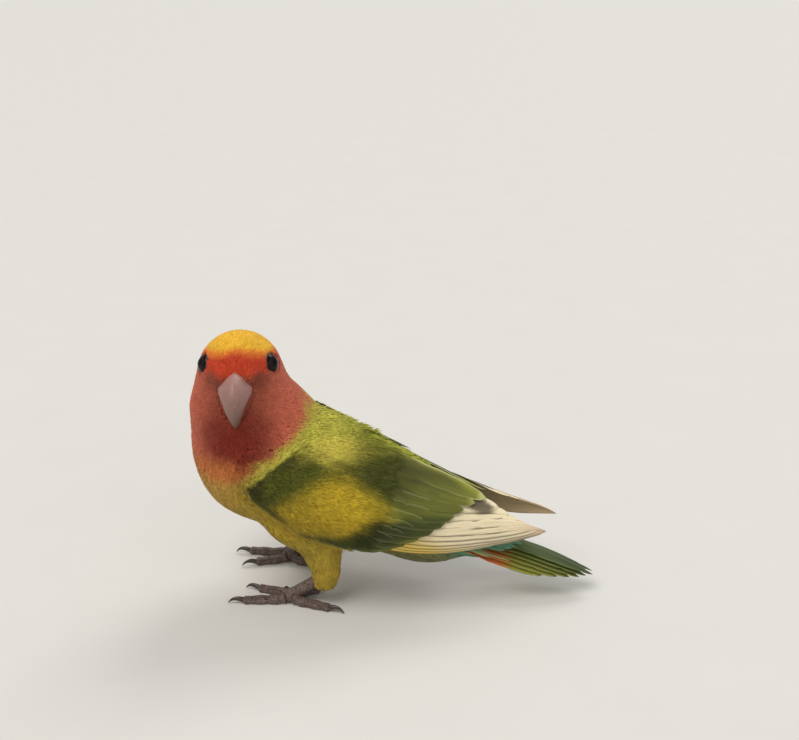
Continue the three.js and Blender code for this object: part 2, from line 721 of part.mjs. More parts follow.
// A toe: pads swell under each joint, and its underside is flat on the floor.
function toe(shape, stride) {
  const { length } = shape;
  const line = new THREE.CatmullRomCurve3([
    onToe(shape, stride, TOE_ROOT, 2.2),
    onToe(shape, stride, length * 0.3, TOE_RADIUS + 0.1 - FLAT),
    onToe(shape, stride, length * 0.65, TOE_RADIUS - FLAT),
    onToe(shape, stride, length, TOE_RADIUS * 0.82 - FLAT + 0.15),
  ]);
  const joints = Math.round(length / 5);
  return limb(
    line,
    (t) => {
      const pad = 1 + 0.1 * Math.cos(2 * Math.PI * joints * t);
      const r = lerp(TOE_RADIUS * 1.1, TOE_RADIUS * 0.8, t) * pad;
      return [r, r * 0.98];
    },
    { steps: joints * 2, around: 8, floor: 0, side: V(0, 0, 1) },
  );
}

// A claw, hooked down from the end of its toe to just over the floor.
function claw(shape, stride) {
  const { length } = shape;
  const line = new THREE.QuadraticBezierCurve3(
    onToe(shape, stride, length + GAP + 0.1, TOE_RADIUS * 0.82 - FLAT + 0.3),
    onToe(shape, stride, length + CLAW_LENGTH * 0.62, TOE_RADIUS + 1.4),
    onToe(shape, stride, length + CLAW_LENGTH * 0.92, 0.35),
  );
  return limb(line, (t) => [lerp(1.0, 0.22, t ** 1.3), lerp(0.9, 0.2, t ** 1.3)], {
    steps: 4,
    around: 6,
    floor: 0.05,
    side: V(0, 0, 1),
  });
}

// Putting the bird together

const bill = joined([upperBill(GAP), lowerBill(GAP)]);
const sockets = joined([eyeSocket(seats.left), eyeSocket(seats.right)]);

const headCuts = { head: joined([bill, cereBand(GAP), sockets]), neck: bill };
for (const [name, part] of Object.entries(FLESH)) {
  const whole = flesh(part, {});
  addPiece(name, headCuts[name] ? whole.subtract(headCuts[name]) : whole, part.material);
}

addPiece("upper_bill", upperBill(0), BILL_HORN);
addPiece("lower_bill", lowerBill(0).subtract(upperBill(GAP)), BILL_HORN);
addPiece("cere", cere(), LID_WHITE);
for (const [name, place] of Object.entries(seats)) {
  addPiece(`eye_${name}`, eyeBall(place), EYE_BLACK);
  addPiece(`lids_${name}`, lids(place), LID_WHITE);
}

addPiece("tail", tail().subtract(clearance), TAIL_GREEN);
const arm = wingArm().subtract(clearance).subtract(middleWall);
const sides = [
  { name: "left", place: (solid) => solid, handReach: 0, stride: 0 },
  { name: "right", place: (solid) => solid.mirror([1, 0, 0]), handReach: FAR_HAND_REACH, stride: STRIDE },
];
for (const { name, place, handReach, stride } of sides) {
  const hand = wingHand(handReach).subtract(clearance).subtract(middleWall);
  addPiece(`wing_arm_${name}`, place(arm), LEAF_GREEN);
  addPiece(`wing_hand_${name}`, place(hand), CREAM);
  const shankRoom = shank(stride, GAP);
  addPiece(`thigh_${name}`, place(thigh(stride).subtract(clearance).subtract(shankRoom)), YELLOW);
  addPiece(`shank_${name}`, place(shank(stride, 0)), SCALE_GREY);
  for (const [toeName, shape] of Object.entries(TOES)) {
    addPiece(`toe_${toeName}_${name}`, place(toe(shape, stride).subtract(shankRoom)), SCALE_GREY);
    addPiece(`claw_${toeName}_${name}`, place(claw(shape, stride)), CLAW_HORN);
  }
}

const bounds = new THREE.Box3().setFromObject(bird);
const middle = bounds.getCenter(V(0, 0, 0));
bird.position.set(-middle.x, -middle.y, -bounds.min.z);

export default bird;
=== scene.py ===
"""The looks of a life-size peach faced lovebird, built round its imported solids.

Shapes are worked out in millimetres in the bird's own frame: it heads along -Y, its left side is
at +X and the middle of its feet is the origin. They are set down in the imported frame, in metres,
as the last step of making each mesh.
"""

import logging
import math
from dataclasses import dataclass, field
from enum import Enum
from typing import Callable, Iterable, Sequence

import bpy
import numpy as np
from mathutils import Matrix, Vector, kdtree


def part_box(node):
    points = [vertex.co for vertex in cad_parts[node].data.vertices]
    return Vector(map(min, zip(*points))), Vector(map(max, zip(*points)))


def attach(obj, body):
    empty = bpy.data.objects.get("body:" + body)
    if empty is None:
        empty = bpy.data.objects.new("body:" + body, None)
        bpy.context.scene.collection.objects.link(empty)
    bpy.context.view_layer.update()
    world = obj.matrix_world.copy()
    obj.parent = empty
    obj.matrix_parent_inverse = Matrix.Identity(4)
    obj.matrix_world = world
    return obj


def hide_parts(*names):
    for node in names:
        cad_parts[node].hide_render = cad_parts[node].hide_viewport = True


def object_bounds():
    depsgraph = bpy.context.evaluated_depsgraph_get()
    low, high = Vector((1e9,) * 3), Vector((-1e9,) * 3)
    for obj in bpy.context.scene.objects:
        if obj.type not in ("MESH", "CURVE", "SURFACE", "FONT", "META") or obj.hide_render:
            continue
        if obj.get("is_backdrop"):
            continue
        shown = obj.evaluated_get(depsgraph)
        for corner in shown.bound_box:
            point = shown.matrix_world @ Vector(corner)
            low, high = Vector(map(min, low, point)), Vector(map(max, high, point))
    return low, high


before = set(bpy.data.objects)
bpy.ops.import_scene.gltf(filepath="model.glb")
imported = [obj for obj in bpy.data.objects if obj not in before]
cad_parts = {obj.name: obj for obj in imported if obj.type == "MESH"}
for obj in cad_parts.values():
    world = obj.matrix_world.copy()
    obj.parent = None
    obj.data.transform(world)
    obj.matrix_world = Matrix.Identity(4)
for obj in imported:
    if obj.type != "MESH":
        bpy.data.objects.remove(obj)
CAD_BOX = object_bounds()

Array = np.ndarray
Value = Array | float
Triple = tuple[float, float, float]
Field = Callable[[Array], Array]
Piece = bpy.types.Object
Material = bpy.types.Material
Socket = bpy.types.NodeSocket
Input = Socket | float | Sequence[float]

MM = 0.001
SEED = 7
ROOT_BODY = "root"
COLOUR_LAYER = "plumage"
BAKE_MAP = "OFBake"
VANE_MAP = "Vane"
BAKE_PATCH = 0.003

# Sizes shared with the solids, in millimetres and degrees
HEAD_CENTRE = (2.0, -25.0, 78.5)
HEAD_YAW = 95.0
BODY_PITCH = 31.0
TRUNK_SOFT = 9.0
HEAD_SOFT = 5.0
FOOT_SPREAD = 14.5
STRIDE = 4.5
FAR_HAND_REACH = 0.04
FAR_HAND_LEVEL = 0.3
FAR_ARM_TUCK = 1.7
HUB = (14.5, -8.5, 2.2)
HUB_PAD_HALF_LENGTH = 2.7 * 1.15


class Slot(Enum):
    """Names of material slots, passed with each piece when it is handed over."""

    FACE = "face_feathers"
    BODY = "body_feathers"
    WING = "wing_feathers"
    FLIGHT = "flight_feathers"
    TAIL = "tail_feathers"
    BILL = "bill"
    CERE = "cere"
    EYES = "eyes"
    LIDS = "lids"
    SCALES = "foot_scales"
    CLAWS = "claws"


class Side(Enum):
    """The two sides of the bird, by the sign of x."""

    LEFT = 1
    RIGHT = -1

    @property
    def label(self) -> str:
        """The side's name in piece and node names."""
        return self.name.lower()


# Numbers

def unit(v: Array) -> Array:
    """Vectors scaled to length 1 along the last axis."""
    return v / np.maximum(np.linalg.norm(v, axis=-1, keepdims=True), 1e-12)


def mix(a: Value, b: Value, t: Value) -> Value:
    """The value a share t of the way from a to b."""
    return a + (b - a) * t


def ease(x: Value, low: float, high: float) -> Value:
    """A smooth step from 0 at low to 1 at high."""
    t = np.clip((x - low) / (high - low), 0.0, 1.0)
    return t * t * (3 - 2 * t)


def linear(*rgb: float) -> Array:
    """A linear colour from its red, green and blue as a screen shows them, 0 to 255."""
    c = np.asarray(rgb, float) / 255
    return np.where(c <= 0.04045, c / 12.92, ((c + 0.055) / 1.055) ** 2.4)


def laid(colour: Array, over: Triple, share: Array) -> Array:
    """Colours with another, as a screen shows it, laid over them by each point's share."""
    shares = share[:, None]
    return mix(colour, linear(*over), shares)


def speckle(p: Array, size: float, seed: int = 0) -> Array:
    """Smooth noise of the given grain over points, from -1 to 1.

    Args:
        p: Points, (n, 3).
        size: Width of a grain in the points' unit.
        seed: Picks the pattern.

    Returns:
        One value for each point.
    """
    q = p / size + seed * 17.3
    cell = np.floor(q).astype(np.int64)
    part = q - cell
    part = part * part * (3 - 2 * part)

    def corner(dx: int, dy: int, dz: int) -> Array:
        """The random value at a corner of each point's cell."""
        key = (cell[:, 0] + dx) * 73856093 ^ (cell[:, 1] + dy) * 19349663 ^ (cell[:, 2] + dz) * 83492791
        key = (key ^ (key >> 13)) * 1274126177
        return ((key ^ (key >> 16)) & 0xFFFF) / 32767.5 - 1

    x0 = [[mix(corner(0, j, k), corner(1, j, k), part[:, 0]) for j in (0, 1)] for k in (0, 1)]
    y0 = [mix(x0[k][0], x0[k][1], part[:, 1]) for k in (0, 1)]
    return mix(y0[0], y0[1], part[:, 2])


class Rail:
    """A smooth curve through points, spaced by the root of the distance between them."""

    def __init__(self, points: Sequence[Sequence[float]]) -> None:
        """Keeps the points, with one more beyond each end.

        Args:
            points: The points that the curve goes through.
        """
        p = np.asarray(points, float)
        self.points = np.vstack([2 * p[0] - p[1], p, 2 * p[-1] - p[-2]])
        self.spans = len(p) - 1
        table = self.at(np.linspace(0, 1, 401))
        steps = np.linalg.norm(np.diff(table, axis=0), axis=1)
        self.reach = np.concatenate([[0], np.cumsum(steps)])

    @property
    def length(self) -> float:
        """How long the curve is."""
        return float(self.reach[-1])

    def at(self, t: Array) -> Array:
        """Points on the curve for shares t of its spans.

        Args:
            t: Shares of the way, 0 to 1.

        Returns:
            One point for each share.
        """
        t = np.clip(np.asarray(t, float), 0, 1) * self.spans
        i = np.minimum(t.astype(int), self.spans - 1)
        w = (t - i)[..., None]
        p0, p1, p2, p3 = (self.points[i + k] for k in range(4))
        d0, d1, d2 = (
            np.maximum(np.sqrt(np.linalg.norm(b - a, axis=-1, keepdims=True)), 1e-4)
            for a, b in ((p0, p1), (p1, p2), (p2, p3))
        )
        t1 = ((p1 - p0) / d0 - (p2 - p0) / (d0 + d1) + (p2 - p1) / d1) * d1
        t2 = ((p2 - p1) / d1 - (p3 - p1) / (d1 + d2) + (p3 - p2) / d2) * d1
        c2 = -3 * p1 + 3 * p2 - 2 * t1 - t2
        c3 = 2 * p1 - 2 * p2 + t1 + t2
        return p1 + t1 * w + c2 * w**2 + c3 * w**3

    def even(self, t: Array) -> Array:
        """Points on the curve for shares t of its length."""
        return self.at(np.interp(np.asarray(t) * self.length, self.reach, np.linspace(0, 1, 401)))

    def slope(self, t: Array, step: float = 1e-3) -> Array:
        """Unit directions of the curve for shares t of its spans."""
        t = np.asarray(t, float)
        return unit(self.at(np.minimum(t + step, 1)) - self.at(np.maximum(t - step, 0)))


# The form of the plumage

@dataclass(frozen=True)
class Mass:
    """One rounded mass: an ellipsoid with lateral, lengthwise and deep radii."""

    centre: Triple
    radii: Triple
    pitch: float = 0.0
    yaw: float = 0.0

    @property
    def turn(self) -> Array:
        """The mass's axes as the columns of a matrix.

        Returns:
            The matrix, (3, 3).
        """
        a, b = math.radians(self.yaw), math.radians(-self.pitch)
        about_z = np.array([[math.cos(a), -math.sin(a), 0], [math.sin(a), math.cos(a), 0], [0, 0, 1]])
        about_x = np.array([[1, 0, 0], [0, math.cos(b), -math.sin(b)], [0, math.sin(b), math.cos(b)]])
        return about_z @ about_x

    def distance(self, p: Array) -> Array:
        """Signed distances, near enough, from points to the mass.

        Args:
            p: Points, (n, 3).

        Returns:
            One distance for each point, negative inside.
        """
        local = (p - self.centre) @ self.turn
        near = np.linalg.norm(local / self.radii, axis=-1)
        slope = np.linalg.norm(local / np.square(self.radii), axis=-1)
        return near * (near - 1) / np.maximum(slope, 1e-9)

    def shell(self, around: int = 32) -> tuple[Array, Array]:
        """The mass as a closed mesh: its points and its triangles.

        Args:
            around: How many points go round it.

        Returns:
            Its points and its triangles.
        """
        turns = np.linspace(0, 2 * np.pi, around, endpoint=False)
        rises = np.linspace(-np.pi / 2, np.pi / 2, around // 2 + 1)[1:-1]
        ring = np.stack([np.cos(turns), np.sin(turns)], 1)
        rows = [np.column_stack([ring * np.cos(r), np.full(around, np.sin(r))]) for r in rises]
        local = np.vstack([[[0, 0, -1]], *rows, [[0, 0, 1]]]) * self.radii
        faces = capped_rings(len(rises), around)
        return local @ self.turn.T + self.centre, faces


def capped_rings(rings: int, around: int) -> Array:
    """Triangles of a ball whose first and last points are its poles.

    Args:
        rings: How many rings lie between the poles.
        around: How many points each ring has.

    Returns:
        Indices of each triangle's points.
    """
    faces = []
    j = np.arange(around)
    k = (j + 1) % around
    faces.append(np.column_stack([np.zeros(around, int), 1 + k, 1 + j]))
    for i in range(rings - 1):
        a, b = 1 + i * around + j, 1 + i * around + k
        faces += [np.column_stack([a, b, b + around]), np.column_stack([a, b + around, a + around])]
    last, top = 1 + (rings - 1) * around, 1 + rings * around
    faces.append(np.column_stack([last + j, last + k, np.full(around, top)]))
    return np.vstack(faces)


def melt(a: Array, b: Array, soft: float) -> Array:
    """The blend of two distances, rounded over the given width where they meet."""
    h = np.clip(0.5 + 0.5 * (b - a) / soft, 0, 1)
    return mix(b, a, h) - soft * h * (1 - h)


def slope_of(f: Field, p: Array, step: float = 0.3) -> Array:
    """Unit directions in which a field grows at points."""
    return unit(np.stack([f(p + a) - f(p - a) for a in np.eye(3) * step], 1))


def settle(f: Field, p: Array, level: Array | float = 0.0, rounds: int = 2) -> Array:
    """Points moved to where a field has a level.

    Args:
        f: The field.
        p: Points, (n, 3).
        level: The level that they are moved to.
        rounds: How many steps are taken.

    Returns:
        The moved points.
    """
    for _ in range(rounds):
        p = p + slope_of(f, p) * (level - f(p))[:, None]
    return p


def tree_of(points: Array) -> kdtree.KDTree:
    """A look-up of the nearest of some points.

    Args:
        points: The points.

    Returns:
        The look-up.
    """
    tree = kdtree.KDTree(len(points))
    for i, p in enumerate(points.tolist()):
        tree.insert(p, i)
    tree.balance()
    return tree


def nearest(tree: kdtree.KDTree, p: Array) -> Array:
    """Index of the tree's nearest point to each point."""
    return np.array([tree.find(q)[1] for q in p.tolist()], int)


@dataclass(frozen=True)
class Limb:
    """A round limb along a line: the feathered thigh, or the fleshy root of the tail."""

    line: tuple[Triple, ...]
    radii: tuple[float, ...]
    samples: int = 14

    def beads(self) -> tuple[Array, Array]:
        """Centres and radii along the limb.

        Returns:
            The centres and the radii.
        """
        t = np.linspace(0, 1, self.samples)
        last = len(self.radii) - 1
        k = np.minimum((t * last).astype(int), last - 1)
        radii = np.asarray(self.radii, float)
        return Rail(self.line).at(t), mix(radii[k], radii[k + 1], ease(t * last - k, 0, 1))

    def distance(self, p: Array) -> Array:
        """Signed distances from points to the limb.

        Args:
            p: Points, (n, 3).

        Returns:
            One distance for each point, negative inside.
        """
        centres, radii = self.beads()
        best = np.full(len(p), 1e3)
        for i in range(len(centres) - 1):
            run = centres[i + 1] - centres[i]
            t = np.clip(((p - centres[i]) @ run) / (run @ run), 0, 1)
            away = np.linalg.norm(p - centres[i] - t[:, None] * run, axis=1)
            best = np.minimum(best, away - mix(radii[i], radii[i + 1], t))
        return best


# The feathered thighs: their line and radii, where they are cut flat, and where they melt in
THIGH_LINE = ((12, 1, 25.5), (13.3, 2.5, 19.5), (15.0, 4, 13.5), (15.5, 3.7, 9.2))
THIGH_RADII = (8.0, 6.6, 5.1, 4.3)
THIGH_END = 6.2
THIGH_END_SOFT = 1.2
THIGH_TOP = 34.0
MANTLE_FRONT, MANTLE_REAR = -18.0, 48.0
LORES_BELOW = 12.0
TAIL_ROOT_END = 66.0


@dataclass
class Plumage:
    """The outer surface of the coat as one blend of masses, as in the solids."""

    trunk: tuple[Mass, ...] = (
        Mass((0, -18, 47.5), (21.5, 23.5, 21.5)),
        Mass((0, 1, 38.5), (20, 27, 20), BODY_PITCH),
        Mass((0, 27, 28), (14, 27, 14.5), 27),
    )
    head: tuple[Mass, ...] = (
        Mass((0.5, -21.5, 60), (18, 20, 19)),
        Mass((5, -24.5, 68.5), (15.5, 17, 13)),
        Mass(HEAD_CENTRE, (14.2, 15.5, 14.4), 0, HEAD_YAW),
    )
    lore_reach: Triple = (12.3, 4.7, 3.1)
    lore_radii: Triple = (2.7, 3.6, 3.0)
    lore_soft: float = 1.6
    thigh_soft: float = 3.0
    flank_at: Triple = (12.5, -6, 26.5)
    flank_radii: Triple = (7.5, 12.5, 6.2)
    flank_pitch: float = 25.0
    mantle: Limb = Limb(
        ((0, -5, 56.5), (0, 2, 56.8), (0, 9, 55.2), (0, 17, 53.4), (0, 27, 49.6), (0, 37, 45.6)),
        (8.6, 7.8, 6.5, 5.0, 3.4, 2.0),
    )
    mantle_soft: float = 4.0
    tail_root: Limb = Limb(((0, 42, 21), (0, 54, 17.6), (0, TAIL_ROOT_END, 15.3)), (7.5, 5.5, 2.0))
    spine: Rail = field(
        default_factory=lambda: Rail(
            [(0, 50, 18.5), (0, 30, 26.5), (0, 10, 36), (0, -8, 44.5)]
            + [(0.5, -19, 56), (1.5, -23.5, 68), (2, -25, 80), (2, -25, 92.85)]
        )
    )

    def thigh(self, side: Side) -> Limb:
        """The feathered thigh of one side.

        Args:
            side: Which side.

        Returns:
            The thigh.
        """
        stride = STRIDE if side is Side.RIGHT else 0
        line = tuple((side.value * x, y - stride * i / 4, z) for i, (x, y, z) in enumerate(THIGH_LINE))
        return Limb(line, THIGH_RADII)

    def lores(self) -> list[Mass]:
        """The two small pads of feathers over the sides of the bill's root.

        Returns:
            The pads.
        """
        forward, aside, up = self.lore_reach
        places = [from_head(np.array([forward, side.value * aside, up])) for side in Side]
        return [Mass(tuple(p), self.lore_radii, 0, HEAD_YAW) for p in places]

    def flanks(self) -> list[Mass]:
        """The fluffed feathers of the flanks, in front of the thighs.

        Returns:
            The masses.
        """
        aside, ahead, high = self.flank_at
        places = [(side.value * aside, ahead, high) for side in Side]
        return [Mass(place, self.flank_radii, self.flank_pitch) for place in places]

    def torso(self, p: Array) -> Array:
        """Signed distances to the plumage without thighs, mantle, lores and root of the tail.

        Args:
            p: Points, (n, 3).

        Returns:
            One distance for each point, negative inside.
        """
        low, high = np.full(len(p), 1e3), np.full(len(p), 1e3)
        for m in self.trunk:
            low = melt(low, m.distance(p), TRUNK_SOFT)
        for m in self.head:
            high = melt(high, m.distance(p), HEAD_SOFT)
        return melt(low, high, TRUNK_SOFT)

    def distance(self, p: Array) -> Array:
        """Signed distances to the whole plumage.

        Args:
            p: Points, (n, 3).

        Returns:
            One distance for each point, negative inside.
        """
        d = self.torso(p)
        near = p[:, 2] < THIGH_TOP
        if near.any():
            part = d[near]
            for side in Side:
                above = p[near, 2] - THIGH_END
                thigh = -melt(-self.thigh(side).distance(p[near]), above, THIGH_END_SOFT)
                part = melt(part, thigh, self.thigh_soft)
            for mass in self.flanks():
                part = melt(part, mass.distance(p[near]), self.thigh_soft)
            d[near] = melt(part, self.tail_root.distance(p[near]), self.thigh_soft)
        near = (p[:, 2] > THIGH_TOP) & (p[:, 1] > MANTLE_FRONT) & (p[:, 1] < MANTLE_REAR)
        if near.any():
            d[near] = melt(d[near], self.mantle.distance(p[near]), self.mantle_soft)
        near = p[:, 2] > HEAD_CENTRE[2] - LORES_BELOW
        if near.any():
            part = d[near]
            for mass in self.lores():
                part = melt(part, mass.distance(p[near]), self.lore_soft)
            d[near] = part
        return d

    def normal(self, p: Array, step: float = 0.3) -> Array:
        """Outward unit normals of the trunk and head at points."""
        return slope_of(self.torso, p, step)

    def spine_share(self, p: Array) -> tuple[Array, Array]:
        """Where along the spine each point is, 0 to 1, and the spine's direction there.

        Args:
            p: Points, (n, 3).

        Returns:
            The shares, and one direction for each point.
        """
        t = np.linspace(0, 1, 161)
        line = self.spine.even(t)
        near = nearest(tree_of(line), p)
        run = unit(np.gradient(line, axis=0))
        return t[near], run[near]

    def shells(self) -> list[tuple[Array, Array]]:
        """Rough closed meshes that together fill the plumage.

        Returns:
            Points and triangles of each mesh.
        """
        masses = [*self.trunk, *self.head, *self.lores(), *self.flanks()]
        for limb in (self.thigh(Side.LEFT), self.thigh(Side.RIGHT), self.tail_root, self.mantle):
            masses += [Mass(tuple(c), (r, r, r)) for c, r in zip(*limb.beads())]
        return [m.shell() for m in masses]


def head_axes() -> Array:
    """The head's own axes as rows: forward along the bill, to the head's left, and up."""
    a = math.radians(HEAD_YAW - 90)
    return np.array([[math.cos(a), math.sin(a), 0], [-math.sin(a), math.cos(a), 0], [0, 0, 1]])


def in_head(p: Array) -> Array:
    """Points in the head's own frame."""
    return (p - HEAD_CENTRE) @ np.stack(head_axes(), 1)


def from_head(p: Array) -> Array:
    """Points of the head's own frame in the bird's frame."""
    return np.asarray(p, float) @ head_axes() + HEAD_CENTRE


def head_direction(p: Array) -> Array:
    """Directions of the head's own frame in the bird's frame."""
    return from_head(p) - np.asarray(HEAD_CENTRE)


# The markings

@dataclass(frozen=True)
class Patch:
    """A soft-edged patch of colour on both sides of the bird."""

    centre: Triple
    radii: Triple
    colour: Triple
    strength: float = 1.0
    tilt: float = 0.0
    soft: float = 0.45

    def cover(self, p: Array) -> Array:
        """How much of the patch's colour each point takes.

        Args:
            p: Points, (n, 3).

        Returns:
            One share for each point, 0 to 1.
        """
        q = np.column_stack([np.abs(p[:, 0]), p[:, 1], p[:, 2]]) - self.centre
        a = math.radians(self.tilt)
        along = q[:, 1] * math.cos(a) + q[:, 2] * math.sin(a)
        up = q[:, 2] * math.cos(a) - q[:, 1] * math.sin(a)
        near = np.linalg.norm(np.column_stack([q[:, 0], along, up]) / self.radii, axis=1)
        return self.strength * (1 - ease(near, 1 - self.soft, 1 + self.soft))


@dataclass
class Markings:
    """The colours of the coat, worked out from a place on the bird."""

    lime: Triple = (188, 180, 70)
    green: Triple = (158, 162, 58)
    belly: Triple = (158, 140, 54)
    breast: Triple = (188, 148, 66)
    rump: Triple = (84, 150, 116)
    cheek: Triple = (184, 94, 71)
    # throat: the deep red laid under the bill, partly the throat's own colour and partly painted shade under the
    # bill.
    throat: Triple = (128, 44, 30)
    bib: Triple = (194, 114, 60)
    forehead: Triple = (196, 66, 38)
    brow: Triple = (226, 122, 46)
    crown: Triple = (238, 184, 54)
    lores: Triple = (136, 68, 52)
    hood_centre: Triple = (3.5, -27.0, 65.0)
    hood_radius: float = 25.2
    patches: tuple[Patch, ...] = (
        Patch((18, -14, 33), (14, 16, 11), (182, 152, 52), 0.85),
        Patch((14, 8, 20), (12, 14, 9), (178, 152, 56), 0.8),
        Patch((15, 4, 10), (9, 11, 10), (176, 148, 54), 0.95),
        # The grey-green patch under the tail is partly painted shade: it is darker than the undertail's own pale
        # colour.
        Patch((4, 34, 15), (12, 16, 8), (112, 112, 80), 0.8),
    )

    def hood(self, p: Array) -> Array:
        """How much each point belongs to the hood of face, crown and throat.

        Args:
            p: Points, (n, 3).

        Returns:
            One share for each point, 0 to 1.
        """
        h = in_head(p)
        reach = np.linalg.norm(p - self.hood_centre, axis=1) + 1.2 * speckle(p, 3.2, 3)
        reach = reach - 6 * ease(h[:, 2], -2, 8)
        forward = h[:, 0] + 0.2 * np.abs(h[:, 1]) + 0.25 * h[:, 2] + 0.8 * speckle(p, 3, 9)
        behind = ease(forward, -14.5, -8.5)
        return (1 - ease(reach, self.hood_radius - 2.2, self.hood_radius + 2.4)) * behind

    def body(self, p: Array) -> Array:
        """Colours of the neck, mantle, breast, belly, thighs and rump.

        Args:
            p: Points, (n, 3).

        Returns:
            One linear colour for each point.
        """
        spread = speckle(p, 7, 1)
        y, z = p[:, 1], p[:, 2]
        colour = np.tile(linear(*self.lime), (len(p), 1))
        colour = laid(colour, self.green, 0.9 * ease(y + 3 * spread, 6, 18))
        under = 1 - ease(z + 0.62 * y + 2 * spread, 30, 46)
        colour = laid(colour, self.belly, under)
        front = (1 - ease(y + 0.35 * z + 2 * spread, -16, 0)) * (1 - ease(z, 52, 66))
        colour = laid(colour, self.breast, front)
        over_rump = ease(y, 37, 46) * ease(z + 0.45 * y + spread, 32, 38)
        colour = laid(colour, self.rump, over_rump)
        for patch in self.patches:
            colour = laid(colour, patch.colour, patch.cover(p))
        return colour

    def face(self, p: Array) -> Array:
        """Colours of the hood: crown, brow, forehead, lores, cheeks and throat.

        Args:
            p: Points, (n, 3).

        Returns:
            One linear colour for each point.
        """
        h = in_head(p)
        grain = speckle(p, 4, 5)
        ahead, aside, up = h[:, 0], np.abs(h[:, 1]), h[:, 2]
        colour = np.tile(linear(*self.cheek), (len(p), 1))
        # Under the bill the cheek colour gives way to a deeper red: partly the throat's own colour, partly painted
        # shade cast by the bill.
        under_bill = np.linalg.norm((h - [15, 0, -18]) / [15, 12, 14], axis=1)
        dark = 1 - ease(under_bill + 0.1 * grain, 0.3, 1.35)
        # Painted light and shade: the cheeks are painted darker near the middle of the face and lighter towards its
        # sides, where rim light falls.
        colour = colour * mix(0.72, 1.22, ease(aside, 6, 17))[:, None]
        colour = laid(colour, self.throat, dark)
        low = ease(-up + 1.5 * grain - 0.1 * ahead, 20, 28)
        colour = laid(colour, self.bib, low)
        colour = laid(colour, self.breast, 0.8 * ease(-up - 0.1 * ahead, 28, 35))
        lore = np.linalg.norm((np.column_stack([ahead, aside, up]) - [12.5, 7, 2]) / [5, 4.5, 3.5], axis=1)
        cap = ease(up + 0.4 * grain - 0.1 * aside, 1.6, 4.8) * ease(ahead, -4, 3)
        colour = laid(colour, self.forehead, cap)
        colour = laid(colour, self.lores, 0.7 * (1 - ease(lore, 0.4, 1.3)))
        over = up + 0.24 * aside - 0.25 * np.minimum(ahead, 0) + 0.45 * grain
        colour = laid(colour, self.brow, ease(over, 9.4, 11.4) * ease(ahead, -8, 2))
        return laid(colour, self.crown, ease(over, 11.0, 12.8))

    def coat(self, p: Array) -> Array:
        """Colours of skin and coat everywhere but the wings and the tail."""
        return mix(self.body(p), self.face(p), self.hood(p)[:, None])


@dataclass(frozen=True)
class WingPatch:
    """A soft-edged patch of colour on the wing, placed by shares back and down it."""

    back: float
    down: float
    length: float
    height: float
    colour: Triple
    strength: float = 0.9
    tilt: float = 0.0
    soft: float = 0.45

    def cover(self, s: Array, v: Array) -> Array:
        """How much of the patch's colour each place takes.

        Args:
            s: Shares back along the wing.
            v: Shares down the wing.

        Returns:
            One share for each place, 0 to 1.
        """
        a = math.radians(self.tilt)
        x, y = s - self.back, (v - self.down) * 0.4
        along, aside = x * math.cos(a) + y * math.sin(a), y * math.cos(a) - x * math.sin(a)
        near = np.hypot(along / self.length, aside / (0.4 * self.height))
        return self.strength * (1 - ease(near, 1 - self.soft, 1 + self.soft))


@dataclass
class WingMarkings:
    """The colours of the folded wing's green feathers."""

    green: Triple = (98, 102, 34)
    lime: Triple = (170, 168, 60)
    patches: tuple[WingPatch, ...] = (
        WingPatch(0.20, 0.03, 0.14, 0.12, (188, 180, 70), 1.0),
        WingPatch(0.10, 0.25, 0.10, 0.16, (104, 99, 36), 0.95),
        WingPatch(0.06, 0.48, 0.12, 0.30, (80, 82, 28), 1.0),
        WingPatch(0.23, 0.34, 0.22, 0.14, (84, 87, 28), 1.0, -15),
        WingPatch(0.02, 0.47, 0.04, 0.24, (60, 58, 22), 0.95),
        WingPatch(0.10, 0.20, 0.05, 0.06, (64, 62, 24), 0.6, 30),
        WingPatch(0.29, 0.14, 0.11, 0.075, (206, 190, 78), 0.95, -4, 0.6),
        WingPatch(0.16, 0.90, 0.10, 0.20, (176, 150, 46), 0.85, 0, 0.5),
        WingPatch(0.34, 0.52, 0.11, 0.22, (192, 162, 42), 1.0, 12, 0.5),
        WingPatch(0.23, 0.68, 0.10, 0.17, (172, 144, 40), 0.9, -10, 0.6),
        WingPatch(0.10, 0.76, 0.05, 0.07, (84, 82, 28), 0.7, 20),
        WingPatch(0.24, 0.95, 0.05, 0.06, (84, 82, 28), 0.6),
        WingPatch(0.53, 0.58, 0.15, 0.13, (58, 66, 25), 0.95, -26, 0.4),
        WingPatch(0.38, 0.84, 0.12, 0.12, (68, 74, 27), 0.9, -12, 0.5),
        WingPatch(0.44, 0.68, 0.09, 0.12, (52, 56, 22), 0.95, -20),
        WingPatch(0.50, 0.20, 0.15, 0.16, (70, 73, 26), 0.95),
        WingPatch(0.60, 0.08, 0.11, 0.12, (70, 73, 28), 0.85),
        WingPatch(0.64, 0.26, 0.11, 0.14, (104, 108, 41), 0.8, -20, 0.6),
    )

    def at(self, s: Array, v: Array, p: Array) -> Array:
        """Colours of places on the wing.

        Args:
            s: Their share back along the wing.
            v: Their share down it.
            p: The places themselves, whose grain makes the edges uneven.

        Returns:
            Linear colours.
        """
        s = s + 0.02 * speckle(p, 6, 21) + 0.008 * speckle(p, 2, 24)
        v = v + 0.035 * speckle(p * [1, 0.35, 1], 2.2, 22) + 0.03 * speckle(p, 7, 25)
        colour = np.tile(linear(*self.green), (len(p), 1))
        colour = laid(colour, self.lime, 0.5 * (1 - ease(v, 0.05, 0.3)))
        for patch in self.patches:
            colour = laid(colour, patch.colour, patch.cover(s, v))
        return colour


# Meshes

